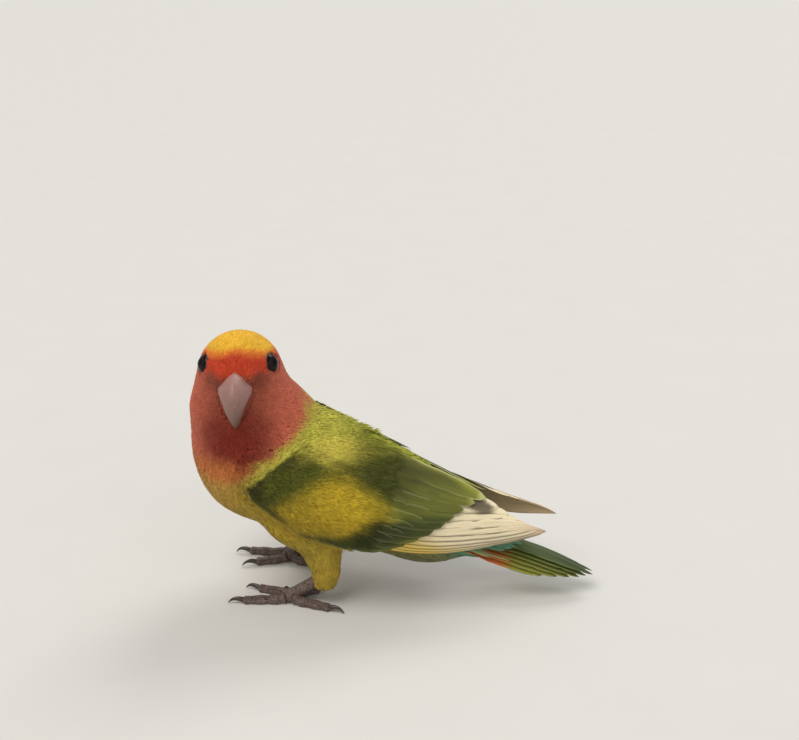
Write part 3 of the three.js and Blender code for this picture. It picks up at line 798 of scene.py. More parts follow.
def shift_to_frame() -> Array:
    """What takes the bird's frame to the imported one: its left foot's pad starts at a known y.

    Returns:
        The shift, in millimetres.
    """
    low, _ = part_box("shank_left")
    wing_low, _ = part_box("wing_arm_right")
    _, wing_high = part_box("wing_arm_left")
    return np.array([
        (wing_low[0] + wing_high[0]) / 2 / MM,
        low[1] / MM - (HUB[1] - HUB_PAD_HALF_LENGTH),
        0.0,
    ])


def mesh_points(mesh: bpy.types.Mesh) -> Array:
    """A mesh's points in the bird's frame.

    Args:
        mesh: The mesh.

    Returns:
        Points, (n, 3).
    """
    flat = np.empty(len(mesh.vertices) * 3, np.float32)
    mesh.vertices.foreach_get("co", flat)
    return flat.reshape(-1, 3).astype(float) / MM - TO_FRAME


TO_FRAME = shift_to_frame()


@dataclass
class Sheaf:
    """Parts of one mesh, gathered before it is made."""

    points: list[Array] = field(default_factory=list)
    faces: list[Array] = field(default_factory=list)
    colours: list[Array] = field(default_factory=list)
    bake: list[Array] = field(default_factory=list)
    vane: list[Array] = field(default_factory=list)
    normals: list[Array] = field(default_factory=list)
    count: int = 0

    def add(
        self,
        points: Array,
        faces: Iterable[Array],
        colours: Array | None = None,
        bake: Array | None = None,
        vane: Array | None = None,
        normals: Array | None = None,
    ) -> None:
        """Adds a part.

        Args:
            points: Its points in the bird's frame, (n, 3).
            faces: Arrays of triangles and of quads.
            colours: Linear colours, one for each point.
            bake: Places on the bake's map, one for each point.
            vane: Places on a feather, one for each point.
            normals: Directions that the points are shaded by.
        """
        self.points.append(points)
        self.faces += [np.asarray(f, np.int64) + self.count for f in faces]
        self.count += len(points)
        given = ((self.colours, colours), (self.bake, bake), (self.vane, vane), (self.normals, normals))
        for kept, new in given:
            if new is not None:
                kept.append(new)

    def corner_normals(self, corners: Array) -> Array:
        """The shading normals of each face's corners, turned to the side that the face looks to.

        Args:
            corners: Index of the point at each corner.

        Returns:
            One direction for each corner.
        """
        points, shaded = np.vstack(self.points), unit(np.vstack(self.normals))[corners]
        flat = []
        for f in self.faces:
            a, b, c = (points[f[:, i]] for i in range(3))
            flat.append(np.repeat(np.cross(b - a, c - a), f.shape[1], axis=0))
        against = (shaded * np.concatenate(flat)).sum(1) < 0
        return np.where(against[:, None], -shaded, shaded)

    def mirrored(self, side: Side) -> "Sheaf":
        """The mesh as it is for the left side, or turned over for the right one.

        Args:
            side: Which side.

        Returns:
            The mesh for that side.
        """
        if side is Side.LEFT:
            return self
        over = np.array([-1.0, 1, 1])
        faces = [f[:, ::-1] for f in self.faces]
        points, normals = [p * over for p in self.points], [n * over for n in self.normals]
        return Sheaf(points, faces, self.colours, self.bake, self.vane, normals, self.count)

    def piece(self, name: str, material: Material, smooth: bool = True) -> Piece:
        """Makes the object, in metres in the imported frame.

        Args:
            name: The object's name.
            material: Its finish.
            smooth: Whether its faces are shaded smooth.

        Returns:
            The new object.
        """
        mesh = bpy.data.meshes.new(name)
        points = (np.vstack(self.points) + TO_FRAME) * MM
        mesh.vertices.add(len(points))
        mesh.vertices.foreach_set("co", points.astype(np.float32).ravel())
        corners = np.concatenate([f.ravel() for f in self.faces])
        sizes = np.concatenate([np.full(len(f), f.shape[1]) for f in self.faces])
        starts = np.concatenate([[0], np.cumsum(sizes)[:-1]])
        mesh.loops.add(len(corners))
        mesh.loops.foreach_set("vertex_index", corners.astype(np.int32))
        mesh.polygons.add(len(sizes))
        mesh.polygons.foreach_set("loop_start", starts.astype(np.int32))
        mesh.polygons.foreach_set("use_smooth", np.full(len(sizes), smooth))
        mesh.update(calc_edges=True)
        for label, places in ((BAKE_MAP, self.bake), (VANE_MAP, self.vane)):
            if places:
                layer = mesh.uv_layers.new(name=label)
                layer.data.foreach_set("uv", np.vstack(places)[corners].astype(np.float32).ravel())
        if self.colours:
            rgb = np.vstack(self.colours)
            layer = mesh.color_attributes.new(COLOUR_LAYER, "FLOAT_COLOR", "POINT")
            rgba = np.column_stack([np.clip(rgb, 0, 1), np.ones(len(rgb))])
            layer.data.foreach_set("color", rgba.astype(np.float32).ravel())
        if self.normals:
            mesh.normals_split_custom_set(self.corner_normals(corners).tolist())
        mesh.materials.append(material)
        obj = bpy.data.objects.new(name, mesh)
        bpy.context.scene.collection.objects.link(obj)
        return obj


def hand_over(piece: Piece, slot: Slot, *nodes: str) -> Piece:
    """Parents a piece to the root body and hides the nodes that it stands for.

    Args:
        piece: The finished piece.
        slot: Not used.
        nodes: The nodes that it replaces.

    Returns:
        The piece.
    """
    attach(piece, ROOT_BODY)
    if nodes:
        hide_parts(*nodes)
    count = sum(len(p.vertices) - 2 for p in piece.data.polygons)
    logging.info("%s: %d triangles", piece.name, count)
    return piece


def tube_faces(rings: int, around: int, caps: bool = True) -> list[Array]:
    """Faces of a tube of rings, closed at its ends on a middle point of each when caps is set.

    Args:
        rings: How many rings.
        around: Points in each ring.
        caps: Whether two more points, after the rings, close the ends.

    Returns:
        Its quads and, with caps, its triangles.
    """
    i, j = np.meshgrid(np.arange(rings - 1), np.arange(around), indexing="ij")
    k = (j + 1) % around
    quads = np.stack([i * around + j, i * around + k, (i + 1) * around + k, (i + 1) * around + j], -1)
    faces = [quads.reshape(-1, 4)]
    if caps:
        j = np.arange(around)
        k = (j + 1) % around
        first, last = rings * around, rings * around + 1
        end = (rings - 1) * around
        faces.append(np.column_stack([np.full(around, first), k, j]))
        faces.append(np.column_stack([np.full(around, last), end + j, end + k]))
    return faces


def swept(
    middles: Array, across: Array, deep: Array, wide: Array, thick: Array, around: int = 24
) -> tuple[Array, list[Array]]:
    """A closed round form swept along points.

    Args:
        middles: Middle of each ring, (n, 3).
        across: Unit direction across at each ring.
        deep: Unit direction of its depth at each ring.
        wide: Half widths.
        thick: Half depths.
        around: Points in each ring.

    Returns:
        The points, with a middle for each end last, and the faces.
    """
    turn = np.linspace(0, 2 * np.pi, around, endpoint=False)
    rings = (
        middles[:, None]
        + across[:, None] * (wide[:, None] * np.cos(turn))[..., None]
        + deep[:, None] * (thick[:, None] * np.sin(turn))[..., None]
    )
    points = np.vstack([rings.reshape(-1, 3), rings[0].mean(0), rings[-1].mean(0)])
    faces = tube_faces(len(middles), around)
    run = np.cross(across[0], deep[0]) @ (middles[1] - middles[0])
    if run < 0:
        faces = [f[:, ::-1] for f in faces]
    return points, faces


# Finishes

class NodeTree:
    """A short way to write a material's nodes."""

    def __init__(self, name: str) -> None:
        """Starts a material with a Principled shader.

        Args:
            name: The material's name.
        """
        self.material = bpy.data.materials.new(name)
        self.material.use_nodes = True
        self.nodes = self.material.node_tree.nodes
        self.shader = self.nodes["Principled BSDF"]

    def node(
        self, kind: str, inputs: dict[str | int, Input] | None = None, **settings: object
    ) -> bpy.types.Node:
        """Adds a node.

        Args:
            kind: Its type's name.
            inputs: Values or sockets for its inputs, by name or index.
            settings: Its own properties.

        Returns:
            The node.
        """
        made = self.nodes.new(kind)
        for key, value in settings.items():
            setattr(made, key, value)
        for key, value in (inputs or {}).items():
            self.feed(made.inputs[key], value)
        return made

    def feed(self, socket: Socket, value: Input) -> None:
        """Links a socket to another, or sets its value.

        Args:
            socket: The socket that is fed.
            value: Another socket, or a plain value.
        """
        if isinstance(value, Socket):
            self.material.node_tree.links.new(value, socket)
        else:
            socket.default_value = value

    def math(self, operation: str, a: Input, b: Input = 0.0) -> Socket:
        """A number worked out from two others."""
        return self.node("ShaderNodeMath", {0: a, 1: b}, operation=operation).outputs[0]

    def scaled(self, value: Input, by: float, plus: float) -> Socket:
        """A number times one constant and plus another."""
        return self.math("ADD", self.math("MULTIPLY", value, by), plus)

    def ramp(self, value: Input, stops: Sequence[tuple[float, Sequence[float]]]) -> Socket:
        """A colour picked by a number.

        Args:
            value: The number, 0 to 1.
            stops: Positions with their linear colours.

        Returns:
            The colour.
        """
        made = self.node("ShaderNodeValToRGB", {0: value})
        band = made.color_ramp.elements
        while len(band) < len(stops):
            band.new(0.5)
        for element, (position, colour) in zip(band, stops):
            element.position = position
            element.color = (*colour, 1)
        return made.outputs[0]

    def noise(self, vector: Input, scale: float, detail: float = 3.0, roughness: float = 0.55) -> Socket:
        """Noise over a vector, from 0 to 1."""
        inputs = {"Vector": vector, "Scale": scale, "Detail": detail, "Roughness": roughness}
        return self.node("ShaderNodeTexNoise", inputs).outputs[0]

    def mottled(
        self, colour: Socket, value: Input, dark: float, light: float, edges: Sequence[float] = (0.3, 0.7)
    ) -> Socket:
        """A colour made darker and lighter by a number.

        Args:
            colour: The colour.
            value: The number, 0 to 1.
            dark: What the colour is multiplied by at the lower edge.
            light: What it is multiplied by at the upper edge.
            edges: The two edges.

        Returns:
            The new colour.
        """
        shade = self.ramp(value, [(edges[0], (dark,) * 3), (edges[1], (light,) * 3)])
        made = self.node("ShaderNodeMix", data_type="RGBA", blend_type="MULTIPLY")
        for key, given in ((0, 1.0), (6, colour), (7, shade)):
            self.feed(made.inputs[key], given)
        return made.outputs[2]

    def painted(self) -> Socket:
        """The piece's own colour layer."""
        return self.node("ShaderNodeAttribute", attribute_name=COLOUR_LAYER).outputs["Color"]

    def share(self, flecks: Input, wander: float) -> Socket:
        """The share held in the colour layer, made uneven by noise."""
        way = self.node("ShaderNodeSeparateColor", {0: self.painted()}).outputs[0]
        return self.math("ADD", way, self.math("MULTIPLY", self.math("SUBTRACT", flecks, 0.5), wander))

    def place(self) -> Socket:
        """The place on the object, in metres."""
        return self.node("ShaderNodeTexCoord").outputs["Object"]

    def stretched(self, vector: Input, scale: Sequence[float]) -> Socket:
        """A vector scaled along each axis."""
        return self.node("ShaderNodeMapping", {"Vector": vector, "Scale": scale}).outputs[0]

    def bump(self, height: Input, strength: float, distance: float) -> None:
        """Raises the surface by a height."""
        inputs = {"Height": height, "Strength": strength, "Distance": distance}
        self.feed(self.shader.inputs["Normal"], self.node("ShaderNodeBump", inputs).outputs[0])

    def set(self, **values: Input) -> None:
        """Sets the shader's inputs, by name with underscores for spaces."""
        for key, value in values.items():
            self.feed(self.shader.inputs[key.replace("_", " ")], value)


@dataclass(frozen=True)
class FeatherFinish:
    """Soft contour feathers that take their colour from the markings."""

    name: str = "soft feathers"
    roughness: float = 0.78
    sheen: float = 0.05
    grain: float = 3200.0

    def material(self) -> Material:
        """Builds the material.

        Returns:
            The material.
        """
        t = NodeTree(self.name)
        fine = t.noise(t.place(), self.grain)
        broad = t.noise(t.place(), self.grain * 0.1)
        colour = t.mottled(t.mottled(t.painted(), fine, 0.9, 1.08), broad, 0.95, 1.05)
        t.set(Base_Color=colour, Sheen_Weight=self.sheen, Sheen_Roughness=0.5, Specular_IOR_Level=0.14)
        t.set(Roughness=t.scaled(fine, 0.2, self.roughness - 0.1))
        t.bump(fine, 0.12, 0.00005)
        return t.material


@dataclass(frozen=True)
class VaneFinish:
    """Flight and tail feathers: barbs slant from the shaft over the feather's own map."""

    name: str
    roughness: float = 0.55
    barbs: float = 90.0
    slant: float = 0.7

    def material(self) -> Material:
        """Builds the material.

        Returns:
            The material.
        """
        t = NodeTree(self.name)
        chart = t.node("ShaderNodeUVMap", uv_map=VANE_MAP).outputs[0]
        places = t.node("ShaderNodeSeparateXYZ", {0: chart})
        aside = t.math("ABSOLUTE", t.math("SUBTRACT", places.outputs[0], 0.5))
        along = t.math("SUBTRACT", places.outputs[1], t.math("MULTIPLY", aside, self.slant))
        rows, beside = t.math("MULTIPLY", along, self.barbs), t.math("MULTIPLY", aside, 2.0)
        barb = t.node("ShaderNodeCombineXYZ", {0: rows, 1: beside})
        lines = t.noise(barb.outputs[0], 1.0, 4.0, 0.6)
        colour = t.mottled(t.painted(), lines, 0.84, 1.12)
        t.set(Base_Color=colour, Specular_IOR_Level=0.22, Sheen_Weight=0.03, Sheen_Roughness=0.4)
        t.set(Roughness=t.scaled(lines, 0.25, self.roughness - 0.12))
        t.bump(lines, 0.3, 0.00012)
        return t.material


@dataclass(frozen=True)
class BillFinish:
    """Pinkish grey horn, greyer at the tip, with fine growth lines."""

    name: str = "bill horn"
    rose: Triple = (164, 122, 114)
    pale: Triple = (196, 160, 150)
    dusk: Triple = (134, 100, 90)
    grey: Triple = (92, 77, 64)

    def material(self) -> Material:
        """Builds the material, whose colour layer holds the share of the way to the tip.

        Returns:
            The material.
        """
        t = NodeTree(self.name)
        bands = ((0.0, self.pale), (0.3, self.rose), (0.62, self.dusk), (1.0, self.grey))
        horn = t.ramp(t.share(t.noise(t.place(), 300), 0.18), [(at, linear(*rgb)) for at, rgb in bands])
        streak = t.noise(t.stretched(t.place(), (3400, 3400, 260)), 1.0, 3)
        colour = t.mottled(horn, streak, 0.86, 1.08, (0.35, 0.65))
        t.set(Base_Color=colour, Coat_Weight=0.12, Coat_Roughness=0.3, Specular_IOR_Level=0.45)
        t.set(Subsurface_Weight=0.12, Subsurface_Scale=0.002)
        t.set(Roughness=t.scaled(streak, 0.2, 0.3))
        t.bump(t.math("ADD", streak, t.noise(t.place(), 1500)), 0.18, 0.00008)
        return t.material


@dataclass(frozen=True)
class SkinFinish:
    """Bare soft skin: cere and lids."""

    name: str
    colour: Triple
    shade: Triple

    def material(self) -> Material:
        """Builds the material.

        Returns:
            The material.
        """
        t = NodeTree(self.name)
        pores = t.noise(t.place(), 2400, 4)
        colour = t.ramp(pores, [(0.3, linear(*self.shade)), (0.7, linear(*self.colour))])
        t.set(Base_Color=colour, Subsurface_Weight=0.15, Subsurface_Scale=0.001, Specular_IOR_Level=0.4)
        t.set(Roughness=t.scaled(pores, 0.2, 0.42))
        t.bump(pores, 0.35, 0.0001)
        return t.material


@dataclass(frozen=True)
class EyeFinish:
    """A dark wet eye: its colour layer holds the share of the way from the pupil's middle."""

    name: str = "eye"
    pupil: Triple = (0.0015, 0.0012, 0.0012)
    iris: Triple = (0.011, 0.006, 0.004)
    iris_edge: Triple = (0.02, 0.011, 0.007)

    def material(self) -> Material:
        """Builds the material.

        Returns:
            The material.
        """
        t = NodeTree(self.name)
        flecks = t.noise(t.place(), 1800, 3)
        rings = [(0.5, self.pupil), (0.58, self.iris), (0.8, self.iris_edge), (0.92, self.pupil)]
        colour = t.ramp(t.share(flecks, 0.06), rings)
        t.set(Base_Color=colour, Specular_IOR_Level=0.2, IOR=1.25, Coat_Weight=0.12, Coat_Roughness=0.02)
        t.set(Roughness=t.scaled(flecks, 0.06, 0.05))
        return t.material


@dataclass(frozen=True)
class ScaleFinish:
    """Grey-brown horny scales of shank and toes, darker in the seams between them."""

    name: str = "foot scales"
    scale: Triple = (132, 112, 102)
    seam: Triple = (58, 46, 42)

    def material(self) -> Material:
        """Builds the material.

        Returns:
            The material.
        """
        t = NodeTree(self.name)
        cells = t.node("ShaderNodeTexVoronoi", {"Vector": t.place(), "Scale": 1500.0}, feature="DISTANCE_TO_EDGE")
        edge = cells.outputs[0]
        grime = t.noise(t.place(), 500, 4)
        colour = t.ramp(edge, [(0.02, linear(*self.seam)), (0.16, linear(*self.scale))])
        t.set(Base_Color=t.mottled(colour, grime, 0.6, 1.15), Specular_IOR_Level=0.4)
        t.set(Roughness=t.scaled(grime, 0.3, 0.42))
        t.bump(t.math("MINIMUM", edge, 0.12), 0.6, 0.0006)
        return t.material


@dataclass(frozen=True)
class ClawFinish:
    """Dark smooth horn with lengthwise grain."""

    name: str = "claw horn"
    dark: Triple = (30, 24, 22)
    light: Triple = (84, 70, 62)

    def material(self) -> Material:
        """Builds the material.

        Returns:
            The material.
        """
        t = NodeTree(self.name)
        grain = t.noise(t.place(), 1300, 4)
        colour = t.ramp(grain, [(0.3, linear(*self.dark)), (0.75, linear(*self.light))])
        t.set(Base_Color=colour, Coat_Weight=0.2, Coat_Roughness=0.2, Specular_IOR_Level=0.5)
        t.set(Roughness=t.scaled(grain, 0.2, 0.25))
        t.bump(grain, 0.2, 0.0001)
        return t.material


@dataclass(frozen=True)
class FloorFinish:
    """The plain pale floor of the studio."""

    name: str = "studio floor"
    colour: Triple = (222, 220, 215)

    def material(self) -> Material:
        """Builds the material.

        Returns:
            The material.
        """
        t = NodeTree(self.name)
        dust = t.noise(t.place(), 30, 3)
        rgb = linear(*self.colour)
        t.set(Base_Color=t.ramp(dust, [(0.3, rgb * 0.98), (0.7, rgb)]), Roughness=0.75, Specular_IOR_Level=0.2)
        return t.material


# Tufts

@dataclass
class Tufts:
    """Small soft feathers over a surface, each with its root, lie and size."""

    root: Array
    normal: Array
    along: Array
    length: Array
    half_width: Array
    depth: Array
    place: Array

    def pick(self, chosen: Array) -> "Tufts":
        """The tufts that are chosen."""
        return Tufts(**{key: value[chosen] for key, value in vars(self).items()})

    def tip(self) -> Array:
        """Where each tuft ends."""
        return self.root + self.along * self.length[:, None]

    def __len__(self) -> int:
        """How many tufts there are."""
        return len(self.root)


SLIVER_POINTS = 7
SLIVER_SIDE = np.array([-1, 1, 0, -1, 1, 0, 0])
SLIVER_PART = np.array([0, 0, 0, 1, 1, 1, 2])
SLIVER_QUADS = np.array([[3, 5, 2, 0], [5, 4, 1, 2], [4, 3, 0, 1]])
SLIVER_TRIANGLES = np.array([[2, 1, 0], [6, 5, 3], [6, 4, 5], [6, 3, 4]])


@dataclass
class Barber:
    """Lays tufts as fans of barbs, each barb a thin closed sliver that follows the surface."""

    level: Field
    paint: Field
    barbs: int = 6
    lift: float = 0.15
    thickness: float = 0.08
    ragged: float = 0.2
    root_shade: float = 0.86
    variety: float = 0.07
    tuft_variety: float = 0.05
    roundness: float = 0.25
    seed: int = SEED

    def fans(self, tufts: Tufts) -> Sheaf:
        """Builds the mesh of the tufts.

        Args:
            tufts: Where they stand and how big they are.

        Returns:
            The mesh, with colours, bake places and soft shading.
        """
        rng = np.random.default_rng(self.seed + len(tufts))
        n, s = len(tufts), self.barbs
        across = np.cross(tufts.normal, tufts.along)
        w = np.linspace(-1, 1, s)[None] + rng.normal(0, 0.5 / s, (n, s))
        end = 1 - 0.3 * w**2 - self.ragged * rng.random((n, s))
        start = 0.1 * rng.random((n, s))
        reach = np.stack([start, mix(start, end, 0.5), end], -1)
        aside = np.stack([0.25 * w, 0.85 * w, w * (0.95 + 0.25 * rng.random((n, s)))], -1)
        axis = (
            tufts.root[:, None, None]
            + tufts.along[:, None, None] * (reach * tufts.length[:, None, None])[..., None]
            + across[:, None, None] * (aside * tufts.half_width[:, None, None])[..., None]
        )
        lifts = self.lift * (rng.random((n, s)) - 0.35) + 0.3 * self.lift * rng.normal(0, 1, (n, 1))
        depth = tufts.depth[:, None]
        aim = np.stack([-depth * np.ones((n, s)), -0.3 * depth + 0.5 * lifts, lifts], -1)
        normal = np.broadcast_to(tufts.normal[:, None, None], axis.shape)
        flat = axis.reshape(-1, 3)
        for _ in range(2):
            short = aim.reshape(-1) - self.level(flat)
            flat = flat + normal.reshape(-1, 3) * np.clip(short, -2, 2)[:, None]
        axis = flat.reshape(n, s, 3, 3)
        run = unit(axis[:, :, 2] - axis[:, :, 0])
        beside = unit(np.cross(tufts.normal[:, None], run))
        half = (tufts.half_width / s)[:, None, None]
        up = tufts.normal[:, None] * (self.thickness * np.minimum(1, tufts.half_width / 0.9))[:, None, None]
        points = np.stack([
            axis[:, :, 0] - beside * half * 1.1,
            axis[:, :, 0] + beside * half * 1.1,
            axis[:, :, 0] + up * 0.6,
            axis[:, :, 1] - beside * half * 1.5,
            axis[:, :, 1] + beside * half * 1.5,
            axis[:, :, 1] + up,
            axis[:, :, 2],
        ], 2)
        bend = self.roundness * w + 0.1 * rng.normal(0, 1, (n, s))
        soft = tufts.normal[:, None, None] + across[:, None, None] * bend[..., None, None]
        soft = soft + beside[:, :, None] * (0.25 * SLIVER_SIDE)[:, None]
        return self.dressed(points, axis, soft, tufts, reach, aside, rng)

    def dressed(
        self,
        points: Array,
        axis: Array,
        normals: Array,
        tufts: Tufts,
        reach: Array,
        aside: Array,
        rng: np.random.Generator,
    ) -> Sheaf:
        """Adds faces, colours and bake places to the barbs' points.

        Args:
            points: Points of the barbs, (tufts, barbs, 7, 3).
            axis: Start, middle and tip of each barb.
            normals: Directions that the points are shaded by.
            tufts: The tufts that they belong to.
            reach: How far along its tuft each part of a barb is, 0 to 1.
            aside: How far to the side of its tuft each part is, about -1 to 1.
            rng: The random numbers for their shades.

        Returns:
            The mesh.
        """
        n, s = points.shape[:2]
        base = np.arange(n * s)[:, None, None] * SLIVER_POINTS
        colour = self.paint(axis.reshape(-1, 3)).reshape(n, s, 3, 3)
        shade = np.exp(self.variety * rng.normal(0, 1, (n, s)) + self.tuft_variety * rng.normal(0, 1, (n, 1)))
        fade = np.array([self.root_shade, mix(self.root_shade, 1, 0.6), 1.0])
        colour = colour * shade[..., None, None] * fade[:, None]
        patch = BAKE_PATCH / 2
        u = tufts.place[:, 0, None, None] + patch * np.clip(aside, -1, 1)
        v = tufts.place[:, 1, None, None] + patch * np.clip(2 * reach - 1, -1, 1)
        bake = np.stack([u, v], -1)[:, :, SLIVER_PART]
        made = Sheaf()
        made.add(
            points.reshape(-1, 3),
            [(base + SLIVER_QUADS).reshape(-1, 4), (base + SLIVER_TRIANGLES).reshape(-1, 3)],
            colour[:, :, SLIVER_PART].reshape(-1, 3),
            bake.reshape(-1, 2),
            normals=normals.reshape(-1, 3),
        )
        return made


def thinned(points: Array, spacing: Array, seed: int) -> Array:
    """Picks points so that none stands nearer to another than its spacing.

    Args:
        points: Candidates, (n, 3).
        spacing: The least distance at each.
        seed: Order in which they are tried.

    Returns:
        Indices of the kept points.
    """
    tree = tree_of(points)
    free = np.ones(len(points), bool)
    kept = []
    for i in np.random.default_rng(seed).permutation(len(points)):
        if free[i]:
            kept.append(i)
            free[[j for _, j, _ in tree.find_range(points[i], spacing[i])]] = False
    return np.array(kept)


@dataclass
class Body:
    """The skin and the coat of small feathers over it."""

    outline: "Outline"
    markings: Markings
    voxel: float = 0.9
    face_spacing: float = 0.62
    head_spacing: float = 0.84
    body_spacing: float = 1.4
    trouser_spacing: float = 0.95
    overlap: float = 3.3
    ridge_half: float = 6.0
    candidates: int = 170000

    def spacing(self, p: Array) -> Array:
        """How far apart the tufts stand: closest round the bill and the eyes.

        Args:
            p: Points, (n, 3).

        Returns:
            One distance for each point.
        """
        h = in_head(p)
        from_bill = np.linalg.norm(h - [14, 0, -2], axis=1)
        size = mix(self.face_spacing, self.head_spacing, ease(from_bill, 7, 20))
        size = mix(size, self.body_spacing, ease(np.linalg.norm(h, axis=1), 20, 42))
        return mix(size, self.trouser_spacing, 1 - ease(p[:, 2], 8, 22))

    def depth(self, p: Array) -> Array:
        """How deep the skin lies under the tips of the coat."""
        return 0.3 + 0.35 * self.spacing(p)

    def flow(self, p: Array, normal: Array, run: Array, share: Array) -> Array:
        """The lie of the coat: away from the bill, then along the body and down the thighs.

        Args:
            p: Points, (n, 3).
            normal: Outward unit normals.
            run: The spine's direction at each point.
            share: Each point's share along the spine.

        Returns:
            One direction for each point.
        """
        from_bill = unit(p - from_head(np.array([[12.5, 0, -1.5]])))
        lie = mix(-run, from_bill, ease(share, 0.6, 0.74)[:, None])
        at_thigh = (np.abs(p[:, 0]) > 5) & (np.abs(p[:, 1] - 3) < 13)
        thigh = (1 - ease(p[:, 2], 16, 24)) * at_thigh
        lie = mix(lie, np.array([0, 0.15, -1.0]), thigh[:, None])
        return unit(lie - (lie * normal).sum(1, keepdims=True) * normal)

    def skin(self) -> Piece:
        """Builds one closed skin under the whole coat.

        Returns:
            The piece.
        """
        rough = Sheaf()
        for points, faces in self.outline.plumage.shells():
            rough.add(points, [faces])
        obj = rough.piece("skin", FeatherFinish("under feathers").material())
        remesh = obj.modifiers.new("melt", "REMESH")
        remesh.mode = "VOXEL"
        remesh.voxel_size = self.voxel * MM
        shape = bpy.data.meshes.new_from_object(obj.evaluated_get(bpy.context.evaluated_depsgraph_get()))
        obj.modifiers.clear()
        obj.data = shape
        shape.name = "skin"
        count = len(shape.vertices)
        points = mesh_points(shape)
        edges = np.empty(len(shape.edges) * 2, np.int32)
        shape.edges.foreach_get("vertices", edges)
        a, b = edges.reshape(-1, 2).T
        ties = np.bincount(np.concatenate([a, b]), minlength=count)[:, None]
        field_of = self.outline.plumage.distance
        for _ in range(4):
            total = np.zeros_like(points)
            np.add.at(total, a, points[b])
            np.add.at(total, b, points[a])
            points = settle(field_of, mix(points, total / ties, 0.6), -self.depth(points), 1)
        points = settle(field_of, points, -self.depth(points))
        shape.vertices.foreach_set("co", ((points + TO_FRAME) * MM).astype(np.float32).ravel())
        layer = shape.color_attributes.new(COLOUR_LAYER, "FLOAT_COLOR", "POINT")
        # The skin is painted a tenth darker than the coat: painted shade in the gaps between the tufts.
        rgba = np.column_stack([0.9 * self.markings.coat(points), np.ones(count)])
        layer.data.foreach_set("color", rgba.astype(np.float32).ravel())
        shape.polygons.foreach_set("use_smooth", np.ones(len(shape.polygons), bool))
        shape.update()
        nodes = ("rump", "torso", "neck", "head", "thigh_left", "thigh_right")
        return hand_over(obj, Slot.BODY, *nodes)

    def spots(self, skin: Piece) -> Array:
        """Spreads the middles of the coat's tufts evenly over the skin.

        Args:
            skin: The skin's object.

        Returns:
            Points, (n, 3).
        """
        mesh = skin.data
        mesh.calc_loop_triangles()
        corner = np.empty(len(mesh.loop_triangles) * 3, np.int32)
        mesh.loop_triangles.foreach_get("vertices", corner)
        a, b, c = mesh_points(mesh)[corner.reshape(-1, 3)].transpose(1, 0, 2)
        area = np.linalg.norm(np.cross(b - a, c - a), axis=1)
        weight = area / self.spacing((a + b + c) / 3) ** 2
        rng = np.random.default_rng(SEED)
        pick = rng.choice(len(a), self.candidates, p=weight / weight.sum())
        r, t = np.sqrt(rng.random(self.candidates))[:, None], rng.random(self.candidates)[:, None]
        found = a[pick] * (1 - r) + b[pick] * r * (1 - t) + c[pick] * r * t
        return settle(self.outline.plumage.distance, found[thinned(found, self.spacing(found), SEED)])

    def tufts(self, spots: Array, level: Field) -> Tufts:
        """The tufts that stand at spots on the plumage, or on the outline with the wings.

        Args:
            spots: Middles of the tufts.
            level: The field whose surface they stand on.

        Returns:
            The tufts.
        """
        rng = np.random.default_rng(SEED + 1)
        spots = settle(level, spots)
        normal = slope_of(level, spots)
        share, run = self.outline.plumage.spine_share(spots)
        along = self.flow(spots, normal, run, share)
        across = np.cross(normal, along)
        turn = rng.normal(0, 0.13, (len(spots), 1))
        along = along * np.cos(turn) + across * np.sin(turn)
        size = self.spacing(spots)
        away = spots - self.outline.plumage.spine.even(share)
        angle = np.arctan2((away * unit(np.cross(run, [1.0, 0, 0]))).sum(1), away[:, 0])
        place = np.column_stack([0.5 + 0.49 * angle / np.pi, 0.01 + 0.98 * share])
        length = self.overlap * size * (0.88 + 0.24 * rng.random(len(spots)))
        root = spots - along * (length * 0.45)[:, None]
        return Tufts(root, normal, along, length, 0.95 * size, 0.8 * self.depth(spots), place)

    def ridge(self, spots: Array) -> Piece:
        """Dresses the raised strip of the back that shows between the wings.

        Args:
            spots: Middles of the tufts.

        Returns:
            The piece.
        """
        between = (np.abs(spots[:, 0]) < self.ridge_half) & (spots[:, 1] > 4) & (spots[:, 2] > 40)
        level = self.outline.plumage.distance
        barber = Barber(level, self.markings.coat, barbs=6, lift=0.2, thickness=0.09)
        made = barber.fans(self.tufts(spots[between], level))
        return hand_over(made.piece("coat_ridge", FeatherFinish("ridge feathers").material()), Slot.BODY)

